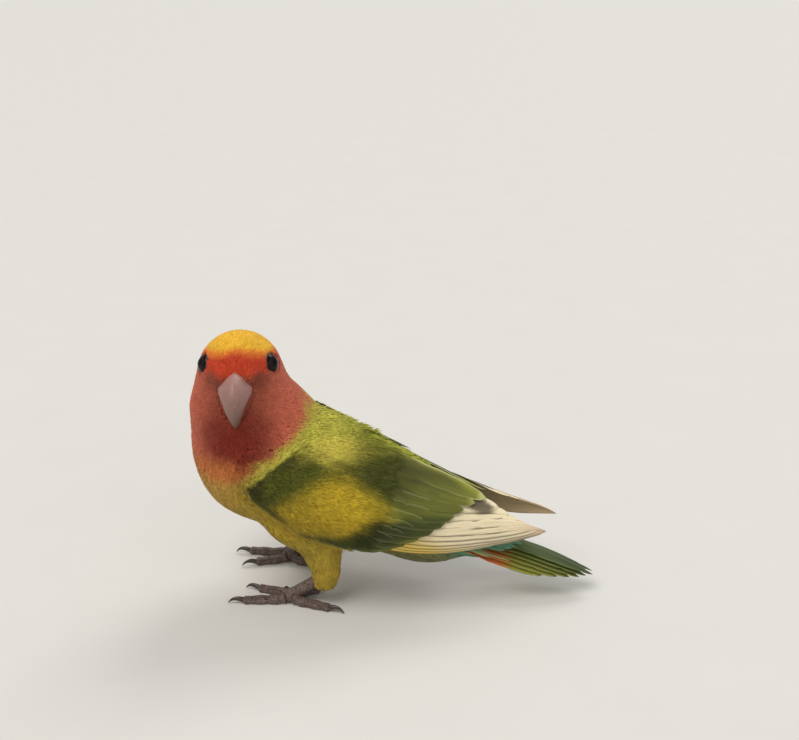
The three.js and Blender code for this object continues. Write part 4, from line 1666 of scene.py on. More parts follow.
    def coat(self, skin: Piece) -> list[Piece]:
        """Builds the coat in pieces by region.

        Args:
            skin: The skin's object.

        Returns:
            The pieces.
        """
        spots = self.spots(skin)
        hidden = self.outline.wing.hides(spots)
        self.ridge(spots[hidden])
        tufts = self.tufts(spots[~hidden], self.outline.distance)
        tufts = tufts.pick(~bare_places(in_head(tufts.root)) & ~bare_places(in_head(tufts.tip())))
        spot = tufts.root + tufts.along * (0.45 * tufts.length)[:, None]
        h = in_head(spot)
        thigh = (spot[:, 2] < 19) & (np.abs(spot[:, 0]) > 6.5) & (np.abs(spot[:, 1] - 3) < 13)
        share = tufts.place[:, 1]
        regions = {
            "face_left": (h[:, 2] > -14) & (h[:, 1] >= 0),
            "face_right": (h[:, 2] > -14) & (h[:, 1] < 0),
            "throat": (share > 0.62),
            "breast": (share > 0.42) & ~thigh,
            "belly": (spot[:, 2] < 34 - 0.4 * spot[:, 1]) & ~thigh,
            "back": ~thigh,
            "thighs": thigh,
        }
        finish = FeatherFinish().material()
        free = np.ones(len(tufts), bool)
        pieces = []
        for name, where in regions.items():
            chosen = free & where
            free = free & ~where
            near = name.startswith("face")
            barber = Barber(
                self.outline.distance,
                self.markings.coat,
                barbs=5 if near else 6,
                lift=0.1 if near else 0.2,
                thickness=0.06 if near else 0.09,
            )
            made = barber.fans(tufts.pick(chosen))
            slot = Slot.FACE if near or name == "throat" else Slot.BODY
            pieces.append(hand_over(made.piece(f"coat_{name}", finish), slot))
        return pieces


def bare_places(h: Array) -> Array:
    """Which points, in the head's frame, lie on the bill, the cere's arch or the eyes.

    Args:
        h: Points in the head's frame.

    Returns:
        True for each point that does.
    """
    aside = np.abs(h[:, 1])
    under_arch = h[:, 2] < 4.4 - 0.66 * aside - 0.02 * aside**2
    reach = np.interp(h[:, 2], [-9, -6, -3, 4], [2.5, 4.4, 5.4, 5.9])
    bill = (aside < reach) & (h[:, 0] > 10) & (h[:, 2] > -9) & under_arch
    eyes = np.zeros(len(h), bool)
    for side in Side:
        seat = eye_seat(side)
        away = h - in_head(seat.at[None])
        out = in_head(seat.out[None] + HEAD_CENTRE)
        off = away - (away @ out.T) * out
        eyes |= (np.linalg.norm(off, axis=1) < EYE_BARE) & (np.linalg.norm(away, axis=1) < 7)
    return bill | eyes


# The eyes

EYE_RADIUS = 4.0
EYE_OPENING = 3.5
EYE_BARE = 3.68
EYE_ANGLE = 71.5
EYE_SINK = 1.55
EYE_HEIGHT = 4.5
EYE_TURN_BACK = 0.1


@dataclass(frozen=True)
class Seat:
    """Where an eye sits: the middle of its lids' plane and the way that it looks."""

    at: Array
    out: Array


def eye_seat(side: Side) -> Seat:
    """Finds an eye's seat: where its line of sight leaves the head, a little way in.

    Args:
        side: Which side.

    Returns:
        The seat.
    """
    if side in EYE_SEATS:
        return EYE_SEATS[side]
    a = math.radians(EYE_ANGLE)
    gaze = unit(head_direction(np.array([math.cos(a), side.value * math.sin(a), 0.05])))
    start = from_head(np.array([1.6, 0, EYE_HEIGHT]))
    reach = np.arange(5, 25, 0.05)
    inside = FORM.torso(start + reach[:, None] * gaze)
    at = start + gaze * (reach[np.argmax(inside >= 0)] - EYE_SINK)
    back = head_direction(np.array([-EYE_TURN_BACK, 0, 0]))
    out = unit(unit(gaze + FORM.normal(at[None])[0]) + back)
    EYE_SEATS[side] = Seat(at, out)
    return EYE_SEATS[side]


EYE_SEATS: dict[Side, Seat] = {}
FORM = Plumage()


def turned(points: Array, seat: Seat) -> Array:
    """Points of a frame whose z looks out of an eye, in the bird's frame.

    Args:
        points: Points whose z looks out of the eye.
        seat: The eye's seat.

    Returns:
        Points of the bird's frame.
    """
    up = np.array([0, 0, 1.0])
    right = unit(np.cross(up, seat.out))
    top = np.cross(seat.out, right)
    return points @ np.stack([right, top, seat.out]) + seat.at


@dataclass
class Eye:
    """An eyeball with its cornea, and the two lids that meet at its corners."""

    side: Side
    rings: int = 26
    around: int = 48
    lid_width: float = 0.34
    beads: int = 38
    bead_radius: float = 0.11

    def ball(self) -> Piece:
        """Builds the eyeball.

        Returns:
            The piece.
        """
        sink = math.sqrt(EYE_RADIUS**2 - EYE_OPENING**2) - 0.2
        rise = np.linspace(-np.pi / 2, np.pi / 2, self.rings)[1:-1]
        turn = np.linspace(0, 2 * np.pi, self.around, endpoint=False)
        cornea = 0.15 * np.exp(-(((np.pi / 2 - rise) / 0.42) ** 2))
        r, z = (EYE_RADIUS + cornea) * np.cos(rise), (EYE_RADIUS + cornea) * np.sin(rise)
        rows = np.stack([r[:, None] * np.cos(turn), r[:, None] * np.sin(turn), z[:, None] + 0 * turn], -1)
        local = np.vstack([[[0, 0, -EYE_RADIUS]], rows.reshape(-1, 3), [[0, 0, EYE_RADIUS + 0.15]]])
        local[:, 2] -= sink
        share = np.linalg.norm(local[:, :2], axis=1) / EYE_OPENING
        share = np.where(local[:, 2] > -1, share, 1.0)
        made = Sheaf()
        colours = np.repeat(share[:, None], 3, 1)
        made.add(turned(local, eye_seat(self.side)), [capped_rings(len(rise), self.around)], colours)
        obj = made.piece(f"eyeball_{self.side.label}", EyeFinish().material())
        return hand_over(obj, Slot.EYES, f"eye_{self.side.label}")

    def rim(self, radius: float, height: float, count: int) -> Array:
        """Points round the eye, drawn out to a corner in front and behind.

        Args:
            radius: The ring's radius.
            height: How far out it lies.
            count: How many points it has.

        Returns:
            The ring's points.
        """
        turn = np.linspace(0, 2 * np.pi, count, endpoint=False)
        corner = 0.3 * np.exp(-((np.abs(np.sin(turn)) / 0.35) ** 2))
        local = np.column_stack([
            (radius + corner) * np.cos(turn), (radius - 0.12) * np.sin(turn), np.full(count, height)
        ])
        return turned(local, eye_seat(self.side))

    def lids(self) -> Piece:
        """Builds the ring of the lids, with a row of small beads along it.

        Returns:
            The piece.
        """
        inner, outer = EYE_OPENING + 0.02, EYE_OPENING + 0.02 + self.lid_width
        profile = [(inner, -1.3), (inner, 0.15), (mix(inner, outer, 0.35), 0.4), (mix(inner, outer, 0.75), 0.3)]
        profile += [(outer, -0.05), (outer + 0.1, -1.3)]
        rows = [self.rim(r, z, 72) for r, z in profile]
        faces = tube_faces(len(profile) + 1, 72, caps=False)[0]
        faces = np.where(faces >= len(profile) * 72, faces - len(profile) * 72, faces)
        made = Sheaf()
        made.add(np.vstack(rows), [faces[:, ::-1]])
        # The lid skin is painted dark brown: painted shade over the rim round the eye.
        finish = SkinFinish("lid skin", (96, 58, 46), (52, 30, 24)).material()
        ring = made.piece(f"lid_ring_{self.side.label}", finish)
        path = self.rim(EYE_OPENING + 0.2, 0.36, 96)
        base = wire_object(f"lid_path_{self.side.label}", path, closed=True)
        beads = realized(base, BeadRow(self.beads, self.bead_radius * MM, finish).tree())
        joined = join([ring, beads], f"eyelids_{self.side.label}")
        return hand_over(joined, Slot.LIDS, f"lids_{self.side.label}")


def wire_object(name: str, points: Array, closed: bool = False) -> Piece:
    """A line of edges through points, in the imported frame.

    Args:
        name: The object's name.
        points: The line's points.
        closed: Whether the last point joins the first.

    Returns:
        The piece.
    """
    mesh = bpy.data.meshes.new(name)
    places = (points + TO_FRAME) * MM
    edges = [(i, i + 1) for i in range(len(places) - 1)]
    if closed:
        edges.append((len(places) - 1, 0))
    mesh.from_pydata(places.tolist(), edges, [])
    obj = bpy.data.objects.new(name, mesh)
    bpy.context.scene.collection.objects.link(obj)
    return obj


def realized(obj: Piece, tree: bpy.types.NodeTree) -> Piece:
    """Runs a Geometry Nodes tree on an object and keeps the result as its plain mesh.

    Args:
        obj: The object.
        tree: The Geometry Nodes tree.

    Returns:
        The piece.
    """
    modifier = obj.modifiers.new("made by nodes", "NODES")
    modifier.node_group = tree
    for item in tree.interface.items_tree:
        if item.item_type == "SOCKET" and item.in_out == "INPUT" and item.socket_type != "NodeSocketGeometry":
            modifier[item.identifier] = item.default_value
    evaluated = obj.evaluated_get(bpy.context.evaluated_depsgraph_get())
    mesh = bpy.data.meshes.new_from_object(evaluated)
    obj.modifiers.clear()
    obj.data = mesh
    return obj


def join(objects: list[Piece], name: str) -> Piece:
    """Joins objects into the first and names it.

    Args:
        objects: The objects.
        name: The object's name.

    Returns:
        The piece.
    """
    with bpy.context.temp_override(active_object=objects[0], selected_editable_objects=objects):
        bpy.ops.object.join()
    objects[0].name = name
    objects[0].data.name = name
    return objects[0]


@dataclass
class BeadRow:
    """A Geometry Nodes tree that sets small balls along a ring of edges."""

    count: int
    radius: float
    finish: Material

    def tree(self) -> bpy.types.NodeTree:
        """Builds the tree, with inputs for the count and the radius.

        Returns:
            The tree.
        """
        group = bpy.data.node_groups.new("bead row", "GeometryNodeTree")
        face = group.interface
        face.new_socket("Geometry", in_out="INPUT", socket_type="NodeSocketGeometry")
        count = face.new_socket("Bead count", in_out="INPUT", socket_type="NodeSocketInt")
        count.default_value = self.count
        radius = face.new_socket("Bead radius", in_out="INPUT", socket_type="NodeSocketFloat")
        radius.default_value = self.radius
        face.new_socket("Geometry", in_out="OUTPUT", socket_type="NodeSocketGeometry")
        n, link = group.nodes.new, group.links.new
        start, end = n("NodeGroupInput"), n("NodeGroupOutput")
        curve, spread = n("GeometryNodeMeshToCurve"), n("GeometryNodeResampleCurve")
        ball, put = n("GeometryNodeMeshIcoSphere"), n("GeometryNodeInstanceOnPoints")
        size, real = n("FunctionNodeRandomValue"), n("GeometryNodeRealizeInstances")
        dress = n("GeometryNodeSetMaterial")
        ball.inputs["Subdivisions"].default_value = 2
        size.inputs[2].default_value, size.inputs[3].default_value = 0.75, 1.2
        size.inputs["Seed"].default_value = SEED
        dress.inputs["Material"].default_value = self.finish
        link(start.outputs["Geometry"], curve.inputs[0])
        link(curve.outputs[0], spread.inputs["Curve"])
        link(start.outputs["Bead count"], spread.inputs["Count"])
        link(start.outputs["Bead radius"], ball.inputs["Radius"])
        link(spread.outputs[0], put.inputs["Points"])
        link(ball.outputs[0], put.inputs["Instance"])
        link(size.outputs[1], put.inputs["Scale"])
        link(put.outputs[0], real.inputs[0])
        link(real.outputs[0], dress.inputs["Geometry"])
        link(dress.outputs[0], end.inputs[0])
        return group


# The bill

@dataclass
class Bill:
    """The upper bill, the lower bill under it and the cere with its nostrils."""

    half_width: float = 5.75
    half_depth: float = 4.4
    pinch: float = 0.15
    blunt: float = 0.14
    narrowing: float = 1.37
    line: tuple[tuple[float, float], ...] = (
        (8.5, 1.2), (13.4, 0.5), (17.4, -1.7), (19.3, -5.4), (18.9, -9.6), (17.8, -12.9),
    )
    lower_line: tuple[tuple[float, float], ...] = ((7.5, -6.2), (12, -7.2), (15, -8.4), (16.4, -9))
    cere_thickness: float = 0.55
    nostril_radius: float = 0.4
    nostril_aside: float = 1.5

    def sizes(self, t: Array) -> tuple[Array, Array]:
        """Half width and half depth of the upper bill along its line.

        Args:
            t: Shares of the way, 0 to 1.

        Returns:
            Half widths and half depths.
        """
        taper = melt(np.ones_like(t), self.narrowing * (1 - t), 0.2)
        taper = taper * mix(0.92, 1, np.clip(t / 0.3, 0, 1))
        return self.half_width * taper + self.blunt, self.half_depth * taper**0.8 + self.blunt

    def shoulders(self, t: Array, turn: Array) -> Array:
        """How far the upper corners of the bill's sections draw in, as a share of their reach."""
        corner = np.abs(np.sin(2 * turn)) * (np.sin(turn) > 0)
        return 1 - self.pinch * (1 - ease(t, 0.3, 0.62))[:, None] * corner

    def frames(self, line: Sequence[Sequence[float]], t: Array) -> tuple[Array, Array, Array]:
        """Middles, directions across and directions of depth along a line in the head's frame.

        Args:
            line: The line's places, forward and up.
            t: Shares of the way, 0 to 1.

        Returns:
            The middles and the two sets of directions.
        """
        rail = Rail([(f, 0.0, u) for f, u in line])
        middles, run = rail.at(t), rail.slope(t)
        across = np.tile([0.0, 1.0, 0.0], (len(t), 1))
        return middles, across, np.cross(run, across)

    def upper(self) -> Piece:
        """Builds the upper bill, with a low ridge along its top and fine growth lines.

        Returns:
            The piece.
        """
        rows, around = 56, 64
        t = 1 - (1 - np.linspace(0, 1, rows)) ** 1.25
        middles, across, deep = self.frames(self.line, t)
        wide, thick = self.sizes(t)
        points, faces = swept(middles, across, deep, wide, thick, around)
        body = points[:-2].reshape(rows, around, 3)
        top = 1.0 if deep[:, 2].mean() > 0 else -1.0
        turn = np.linspace(0, 2 * np.pi, around, endpoint=False)
        ridge = np.exp(-(((turn - (np.pi if top < 0 else 0) - np.pi / 2) / 0.5) ** 2))
        raised = top * 0.3 * ridge * np.sin(np.pi * np.clip(t * 1.1, 0, 1))[:, None]
        body = body + deep[:, None] * raised[..., None]
        drawn = self.shoulders(t, turn * top)
        body = middles[:, None] + (body - middles[:, None]) * drawn[..., None]
        growth = 0.035 * np.sin(58 * t + 1.5 * np.sin(9 * t)) * (t > 0.25)
        body = body + (body - middles[:, None]) * (growth[:, None, None] * 0.25)
        points = np.vstack([body.reshape(-1, 3), points[-2:]])
        share = np.concatenate([np.repeat(t, around), [0, 1]])
        made = Sheaf()
        made.add(from_head(points), faces, np.repeat(share[:, None], 3, 1))
        return hand_over(made.piece("bill_upper", BillFinish().material()), Slot.BILL, "upper_bill")

    def lower(self) -> Piece:
        """Builds the lower bill, tucked behind the upper one.

        Returns:
            The piece.
        """
        t = np.linspace(0, 1, 24)
        middles, across, deep = self.frames(self.lower_line, t)
        taper = np.sqrt(1 - 0.93 * t * t)
        points, faces = swept(middles, across, deep, 4.7 * taper, 3.1 * taper, 40)
        made = Sheaf()
        share = np.concatenate([np.repeat(mix(0.5, 0.95, t), 40), [0.5, 0.95]])
        made.add(from_head(points), faces, np.repeat(share[:, None], 3, 1))
        obj = made.piece("bill_lower", BillFinish("lower bill horn").material())
        return hand_over(obj, Slot.BILL, "lower_bill")

    def cere(self) -> Piece:
        """Builds the fleshy band over the bill's root, with a nostril sunk in each side.

        Returns:
            The piece.
        """
        rows, strips = 14, 49
        t = np.linspace(0.05, 0.19, rows)
        middles, across, deep = self.frames(self.line, t)
        wide, thick = self.sizes(t)
        lip = np.sin(np.pi * np.linspace(0.12, 0.95, rows)) ** 0.5
        turn = np.linspace(math.radians(46), math.radians(134), strips)
        sign = 1.0 if deep[:, 2].mean() > 0 else -1.0
        layers = []
        for grow in (self.cere_thickness, -0.2):
            w, d = wide + grow * lip, thick + grow * lip + 0.15
            layers.append(
                middles[:, None]
                + across[:, None] * (w[:, None] * np.cos(turn))[..., None]
                + deep[:, None] * (sign * d[:, None] * np.sin(turn))[..., None]
            )
        drawn = self.shoulders(t, turn)[..., None]
        skin, under = (middles[:, None] + (layer - middles[:, None]) * drawn for layer in layers)
        for side in Side:
            w, d = wide[10] + self.cere_thickness, thick[10] + self.cere_thickness
            rise = 0.93 * d * math.sqrt(1 - (self.nostril_aside / w) ** 2)
            hole = middles[10] + across[10] * side.value * self.nostril_aside + deep[10] * sign * rise
            near = np.linalg.norm(skin - hole, axis=-1)
            rim = 0.12 * np.exp(-(((near - self.nostril_radius * 1.6) / 0.3) ** 2))
            dip = -0.75 * (1 - ease(near, self.nostril_radius * 0.5, self.nostril_radius * 1.25))
            skin = skin + deep[:, None] * (sign * (rim + dip))[..., None]
        points = np.concatenate([skin.reshape(-1, 3), under.reshape(-1, 3)])
        faces = slab_faces(rows, strips)
        made = Sheaf()
        made.add(from_head(points), [f if sign < 0 else f[:, ::-1] for f in faces])
        finish = SkinFinish("cere skin", (186, 134, 120), (140, 88, 74)).material()
        return hand_over(made.piece("cere_band", finish), Slot.CERE, "cere")


def slab_faces(rows: int, strips: int) -> list[Array]:
    """Quads of a closed slab whose points are a top grid and then a bottom grid.

    Args:
        rows: Rows of each grid.
        strips: Strips across each grid.

    Returns:
        The faces, as indices of their points.
    """
    i, j = np.meshgrid(np.arange(rows - 1), np.arange(strips - 1), indexing="ij")
    a = (i * strips + j).ravel()
    top = np.column_stack([a, a + strips, a + strips + 1, a + 1])
    under = rows * strips
    bottom = top[:, ::-1] + under
    i = np.arange(rows - 1) * strips
    left = np.column_stack([i, i + under, i + strips + under, i + strips])
    k = i + strips - 1
    right = np.column_stack([k, k + strips, k + strips + under, k + under])
    j = np.arange(strips - 1)
    front = np.column_stack([j, j + 1, j + 1 + under, j + under])
    m = (rows - 1) * strips + j
    back = np.column_stack([m, m + under, m + 1 + under, m + 1])
    return [np.vstack([top, bottom, left, right, front, back])]


# Wings

@dataclass
class WingSheet:
    """The sheet that the folded left wing lies on: s runs back, v runs down."""

    clear: float = 0.4
    back: Rail = field(default_factory=lambda: Rail([
        (13, -15, 55), (8, 0, 60.5), (2.4, 18, 56.3), (1.2, 38, 45.8), (1.2, 58, 35), (2, 80, 27.2)]))
    flank: Rail = field(default_factory=lambda: Rail([
        (20, -19, 46.5), (23, -2, 44), (21, 19, 37.5), (16, 40, 31.5), (10, 60, 28), (5, 80, 25.8)]))
    lower: Rail = field(default_factory=lambda: Rail([
        (19, -16, 39), (21, -3, 29.5), (19, 18, 23), (15, 40, 19.5), (10, 60, 21), (5.5, 79, 25)]))
    s_range: tuple[float, float] = (-0.06, 1.1)
    v_range: tuple[float, float] = (-0.12, 1.14)
    grid: tuple[int, int] = (150, 64)

    def __post_init__(self) -> None:
        """Works the sheet out once on a grid."""
        s = np.linspace(*self.s_range, self.grid[0])
        v = np.linspace(*self.v_range, self.grid[1])
        ss, vv = np.meshgrid(s, v, indexing="ij")
        flat = self.bare(ss.ravel(), vv.ravel())
        for _ in range(3):
            short = self.clear - FORM.torso(flat)
            push = np.where(short > -2, np.log1p(np.exp(np.minimum(short * 2.5, 40))) / 2.5, 0)
            flat = flat + FORM.normal(flat, 0.25) * push[:, None]
        self.points = flat.reshape(*self.grid, 3)
        along = np.gradient(self.points, axis=0)
        down = np.gradient(self.points, axis=1)
        self.outs = unit(np.cross(down, along))

    def bare(self, s: Array, v: Array) -> Array:
        """The sheet before it is held clear of the plumage.

        Args:
            s: Shares back along the wing.
            v: Shares down the wing.

        Returns:
            One point for each place.
        """
        k = np.clip(s, 0, 1)
        top, low, side = self.back.at(k), self.lower.at(k), self.flank.at(k)
        bulge = 2 * side - 0.5 * top - 0.5 * low
        v = v[:, None]
        p = top * (1 - v) ** 2 + 2 * v * (1 - v) * bulge + v**2 * low
        over = np.maximum(s - 1, 0) + np.minimum(s, 0)
        ahead = np.where((s > 1)[:, None], self.flank.slope(np.array([1.0])), self.flank.slope(np.array([0.0])))
        return p + ahead * (over * self.flank.length)[:, None]

    def sample(self, table: Array, s: Array, v: Array) -> Array:
        """A table on the grid, read between its places.

        Args:
            table: Values on the sheet's grid.
            s: Shares back along the wing.
            v: Shares down the wing.

        Returns:
            The table's value at each place.
        """
        a = (np.clip(s, *self.s_range) - self.s_range[0]) / np.diff(self.s_range) * (self.grid[0] - 1)
        b = (np.clip(v, *self.v_range) - self.v_range[0]) / np.diff(self.v_range) * (self.grid[1] - 1)
        i = np.minimum(a.astype(int), self.grid[0] - 2)
        j = np.minimum(b.astype(int), self.grid[1] - 2)
        x, y = (a - i)[..., None], (b - j)[..., None]
        near = mix(table[i, j], table[i + 1, j], x)
        return mix(near, mix(table[i, j + 1], table[i + 1, j + 1], x), y)

    def at(self, s: Array, v: Array, height: Array | float = 0.0) -> Array:
        """Points at a height over the sheet.

        Args:
            s: Shares back along the wing.
            v: Shares down the wing.
            height: Heights over the sheet.

        Returns:
            One point for each place.
        """
        s, v = np.broadcast_arrays(np.asarray(s, float), np.asarray(v, float))
        height = np.broadcast_to(height, s.shape)
        return self.sample(self.points, s, v) + self.out(s, v) * height[..., None]

    def out(self, s: Array, v: Array) -> Array:
        """Outward unit directions of the sheet."""
        s, v = np.broadcast_arrays(np.asarray(s, float), np.asarray(v, float))
        return unit(self.sample(self.outs, s, v))


@dataclass
class WingSurface:
    """The padded top of the folded wings, with the place of each of its points on the sheet."""

    sheet: "WingSheet"
    grid: tuple[int, int] = (150, 90)
    s_range: tuple[float, float] = (-0.05, 0.6)
    v_range: tuple[float, float] = (-0.02, 1.0)
    edge: float = 0.7
    far: float = 20.0
    front_dip: float = 1.9

    def __post_init__(self) -> None:
        """Keeps the surface for look-up."""
        s, v = np.meshgrid(
            np.linspace(*self.s_range, self.grid[0]), np.linspace(*self.v_range, self.grid[1]), indexing="ij"
        )
        self.s, self.v = s.ravel(), v.ravel()
        self.points = self.at(self.s, self.v)
        self.outs = self.sheet.out(self.s, self.v)
        self.tree = tree_of(self.points)
        self.rim = np.isin(self.s, self.s_range) | np.isin(self.v, self.v_range)

    def crown(self, s: Array, v: Array) -> Array:
        """Height of the padded wing over its sheet.

        Args:
            s: Shares back along the wing.
            v: Shares down the wing.

        Returns:
            One height for each place.
        """
        across = np.sin(np.pi * np.clip(v, 0.15, 0.94)) ** 0.6
        pad = (mix(3.3, 2.6, ease(s, 0, 0.5)) * across + 0.35) * ease(s, self.s_range[0], 0.09) ** 0.8
        pad = pad * mix(ease(v, self.v_range[0], 0.25) ** 0.7, 1, ease(s, 0.12, 0.3))
        return mix(pad, 2.6 - 1.1 * v, ease(s, 0.3, 0.52))

    def at(self, s: Array, v: Array, under: Array | float = 0.0) -> Array:
        """Points on the padded top, or some way under it."""
        dip = self.front_dip * (1 - ease(s, self.s_range[0], 0.01))
        return self.sheet.at(s, v, np.maximum(self.crown(s, v) - under, 0.05) - dip)

    def look_up(self, p: Array) -> tuple[Array, Array, Array]:
        """Nearest point of the surface to each point, the height over it and the way past its edge.

        Args:
            p: Points, (n, 3).

        Returns:
            Indices of the nearest points, the heights and the ways past the edge.
        """
        q = np.column_stack([np.abs(p[:, 0]), p[:, 1:]])
        near = nearest(self.tree, q)
        away = q - self.points[near]
        height = (away * self.outs[near]).sum(1)
        past = np.linalg.norm(away - height[:, None] * self.outs[near], axis=1)
        return near, height, np.where(self.rim[near], np.maximum(past - self.edge, 0), 0)

    def distance(self, p: Array) -> Array:
        """Signed distances, near enough, from points to either wing.

        Args:
            p: Points, (n, 3).

        Returns:
            One distance for each point, negative inside.
        """
        d = np.full(len(p), self.far)
        y, z = p[:, 1], p[:, 2]
        near = (y > -26) & (y < 52) & (z > 14) & (z < 68)
        if near.any():
            _, height, past = self.look_up(p[near])
            outside = np.hypot(np.maximum(height, 0), past)
            d[near] = np.minimum(np.where(past > 0, outside, height), self.far)
        return d

    def hides(self, p: Array) -> Array:
        """Whether each point lies under a wing."""
        _, height, past = self.look_up(p)
        return (height < 1.2) & (past == 0)


@dataclass
class Outline:
    """The bird's whole outer surface: the plumage with the padded wings over it."""

    plumage: Plumage
    wing: WingSurface
    soft: float = 2.2

    def distance(self, p: Array) -> Array:
        """Signed distances to the surface."""
        return melt(self.plumage.distance(p), self.wing.distance(p), self.soft)


@dataclass
class Vane:
    """One feather of a wing or the tail: a shaft with a web of barbs on each side."""

    half_width: float
    thickness: float = 0.2
    rows: int = 30
    strips: int = 12
    round_from: float = 0.72
    tip_power: float = 2.0
    outer_share: float = 0.8
    inner_share: float = 1.0
    camber: float = 0.25
    splits: int = 1
    quill: float = 0.6

    def width(self, t: Array) -> Array:
        """Width along the feather, 1 at its widest.

        Args:
            t: Shares of the way, 0 to 1.

        Returns:
            One width for each share.
        """
        root = mix(self.quill, 1, ease(t, 0, 0.35))
        over = np.clip((t - self.round_from) / (1 - self.round_from), 0, 1)
        return np.maximum(root * (1 - over**self.tip_power) ** (1 / self.tip_power), 0.03)

    def grid(
        self, middle: Array, out: Array, side: float, rng: np.random.Generator
    ) -> tuple[Array, list[Array], Array, Array]:
        """Builds the feather on its line.

        Args:
            middle: Points along the shaft, (rows, 3).
            out: Outward direction at each.
            side: Which side of the shaft is the narrow leading one, 1 or -1.
            rng: Random numbers for its edges.

        Returns:
            Its points, its faces, its places across -1..1 and along 0..1, and the same as a map.
        """
        t = np.linspace(0, 1, self.rows)
        run = unit(np.gradient(middle, axis=0))
        across = unit(np.cross(run, out)) * side
        w = np.linspace(-1, 1, self.strips + 1)
        wide = self.half_width * self.width(t)
        wobble = 1 + 0.02 * np.sin(40 * t + rng.random() * 6)
        offset = w * np.where(w < 0, self.inner_share, self.outer_share) * (wide * wobble)[:, None]
        notch = np.zeros((self.rows, self.strips + 1))
        for _ in range(self.splits):
            place, which = rng.uniform(0.5, 0.92), rng.choice([-1, 1])
            cut = np.exp(-(((t - place) / 0.014) ** 2))[:, None] * np.clip(w * which, 0, 1) ** 2
            notch += cut * rng.uniform(0.1, 0.28)
        offset = offset * (1 - notch)
        camber = -self.camber * w**2 * (wide / self.half_width)[:, None]
        shaft = 0.16 * np.exp(-((w / 0.09) ** 2))[None] * (1 - 0.7 * t)[:, None]
        base = middle[:, None] + across[:, None] * offset[..., None]
        edge = np.sqrt(np.clip(1 - np.abs(w) ** 6, 0.04, 1))
        half = self.thickness / 2 * edge[None] * np.where(t > 0.97, 0.5, 1)[:, None]
        top = base + out[:, None] * (camber + half + shaft)[..., None]
        bottom = base + out[:, None] * (camber - half)[..., None]
        points = np.vstack([top.reshape(-1, 3), bottom.reshape(-1, 3)])
        faces = slab_faces(self.rows, self.strips + 1)
        tt, ww = np.meshgrid(t, w, indexing="ij")
        one = np.column_stack([ww.ravel(), tt.ravel()])
        places = np.vstack([one, one])
        flip = np.dot(np.cross(top[1, 0] - top[0, 0], top[0, 1] - top[0, 0]), out[0]) < 0
        faces = [f[:, ::-1] for f in faces] if flip else faces
        return points, faces, places, np.column_stack([places[:, 0] * 0.5 + 0.5, places[:, 1]])


@dataclass
class FeatherRow:
    """A tier of vanes on the wing sheet, from its first to its last."""

    count: int
    line: Callable[[float], Sequence[Sequence[float]]]
    vane: Callable[[float], Vane]
    paint: Callable[[float, Array, Array, Array], Array]
    seed: int = 1
    wall: float = 0.2

    def build(self, sheet: WingSheet, made: Sheaf) -> None:
        """Adds the tier's feathers to a mesh.

        Args:
            sheet: The sheet that they lie on.
            made: The mesh that takes them.
        """
        rng = np.random.default_rng(SEED * 31 + self.seed)
        for i in range(self.count):
            k = i / max(1, self.count - 1)
            vane = self.vane(k)
            t = np.linspace(0, 1, vane.rows)[:, None]
            root, middle, tip = np.array(self.line(k), float)
            line = root * (1 - t) * (1 - 2 * t) + middle * 4 * t * (1 - t) + tip * t * (2 * t - 1)
            shaft = sheet.at(line[:, 0], line[:, 1], line[:, 2])
            out = sheet.out(line[:, 0], line[:, 1])
            points, faces, places, chart = vane.grid(shaft, out, 1, rng)
            points[:, 0] = np.maximum(points[:, 0], self.wall)
            s = np.interp(places[:, 1], t[:, 0], line[:, 0])
            v = np.interp(places[:, 1], t[:, 0], line[:, 1]) + 0.15 * places[:, 0]
            colours = self.paint(k, places, points, np.column_stack([s, v]))
            made.add(points, faces, colours, vane=chart)


def edged(colour: Array, edge: Array, places: Array, width: float = 0.12) -> Array:
    """A feather's colour with another along its rim.

    Args:
        colour: Colour of the web at each point.
        edge: Colour of the rim.
        places: Places across, -1 to 1, and along, 0 to 1.
        width: Width of the rim as a share of the half width.

    Returns:
        The colours.
    """
    rim = np.maximum(np.abs(places[:, 0]) * ease(places[:, 1], 0.3, 0.6), ease(places[:, 1], 0.85, 1.0))
    return mix(colour, edge, ease(rim, 1 - 2 * width, 1 - 0.4 * width)[:, None])


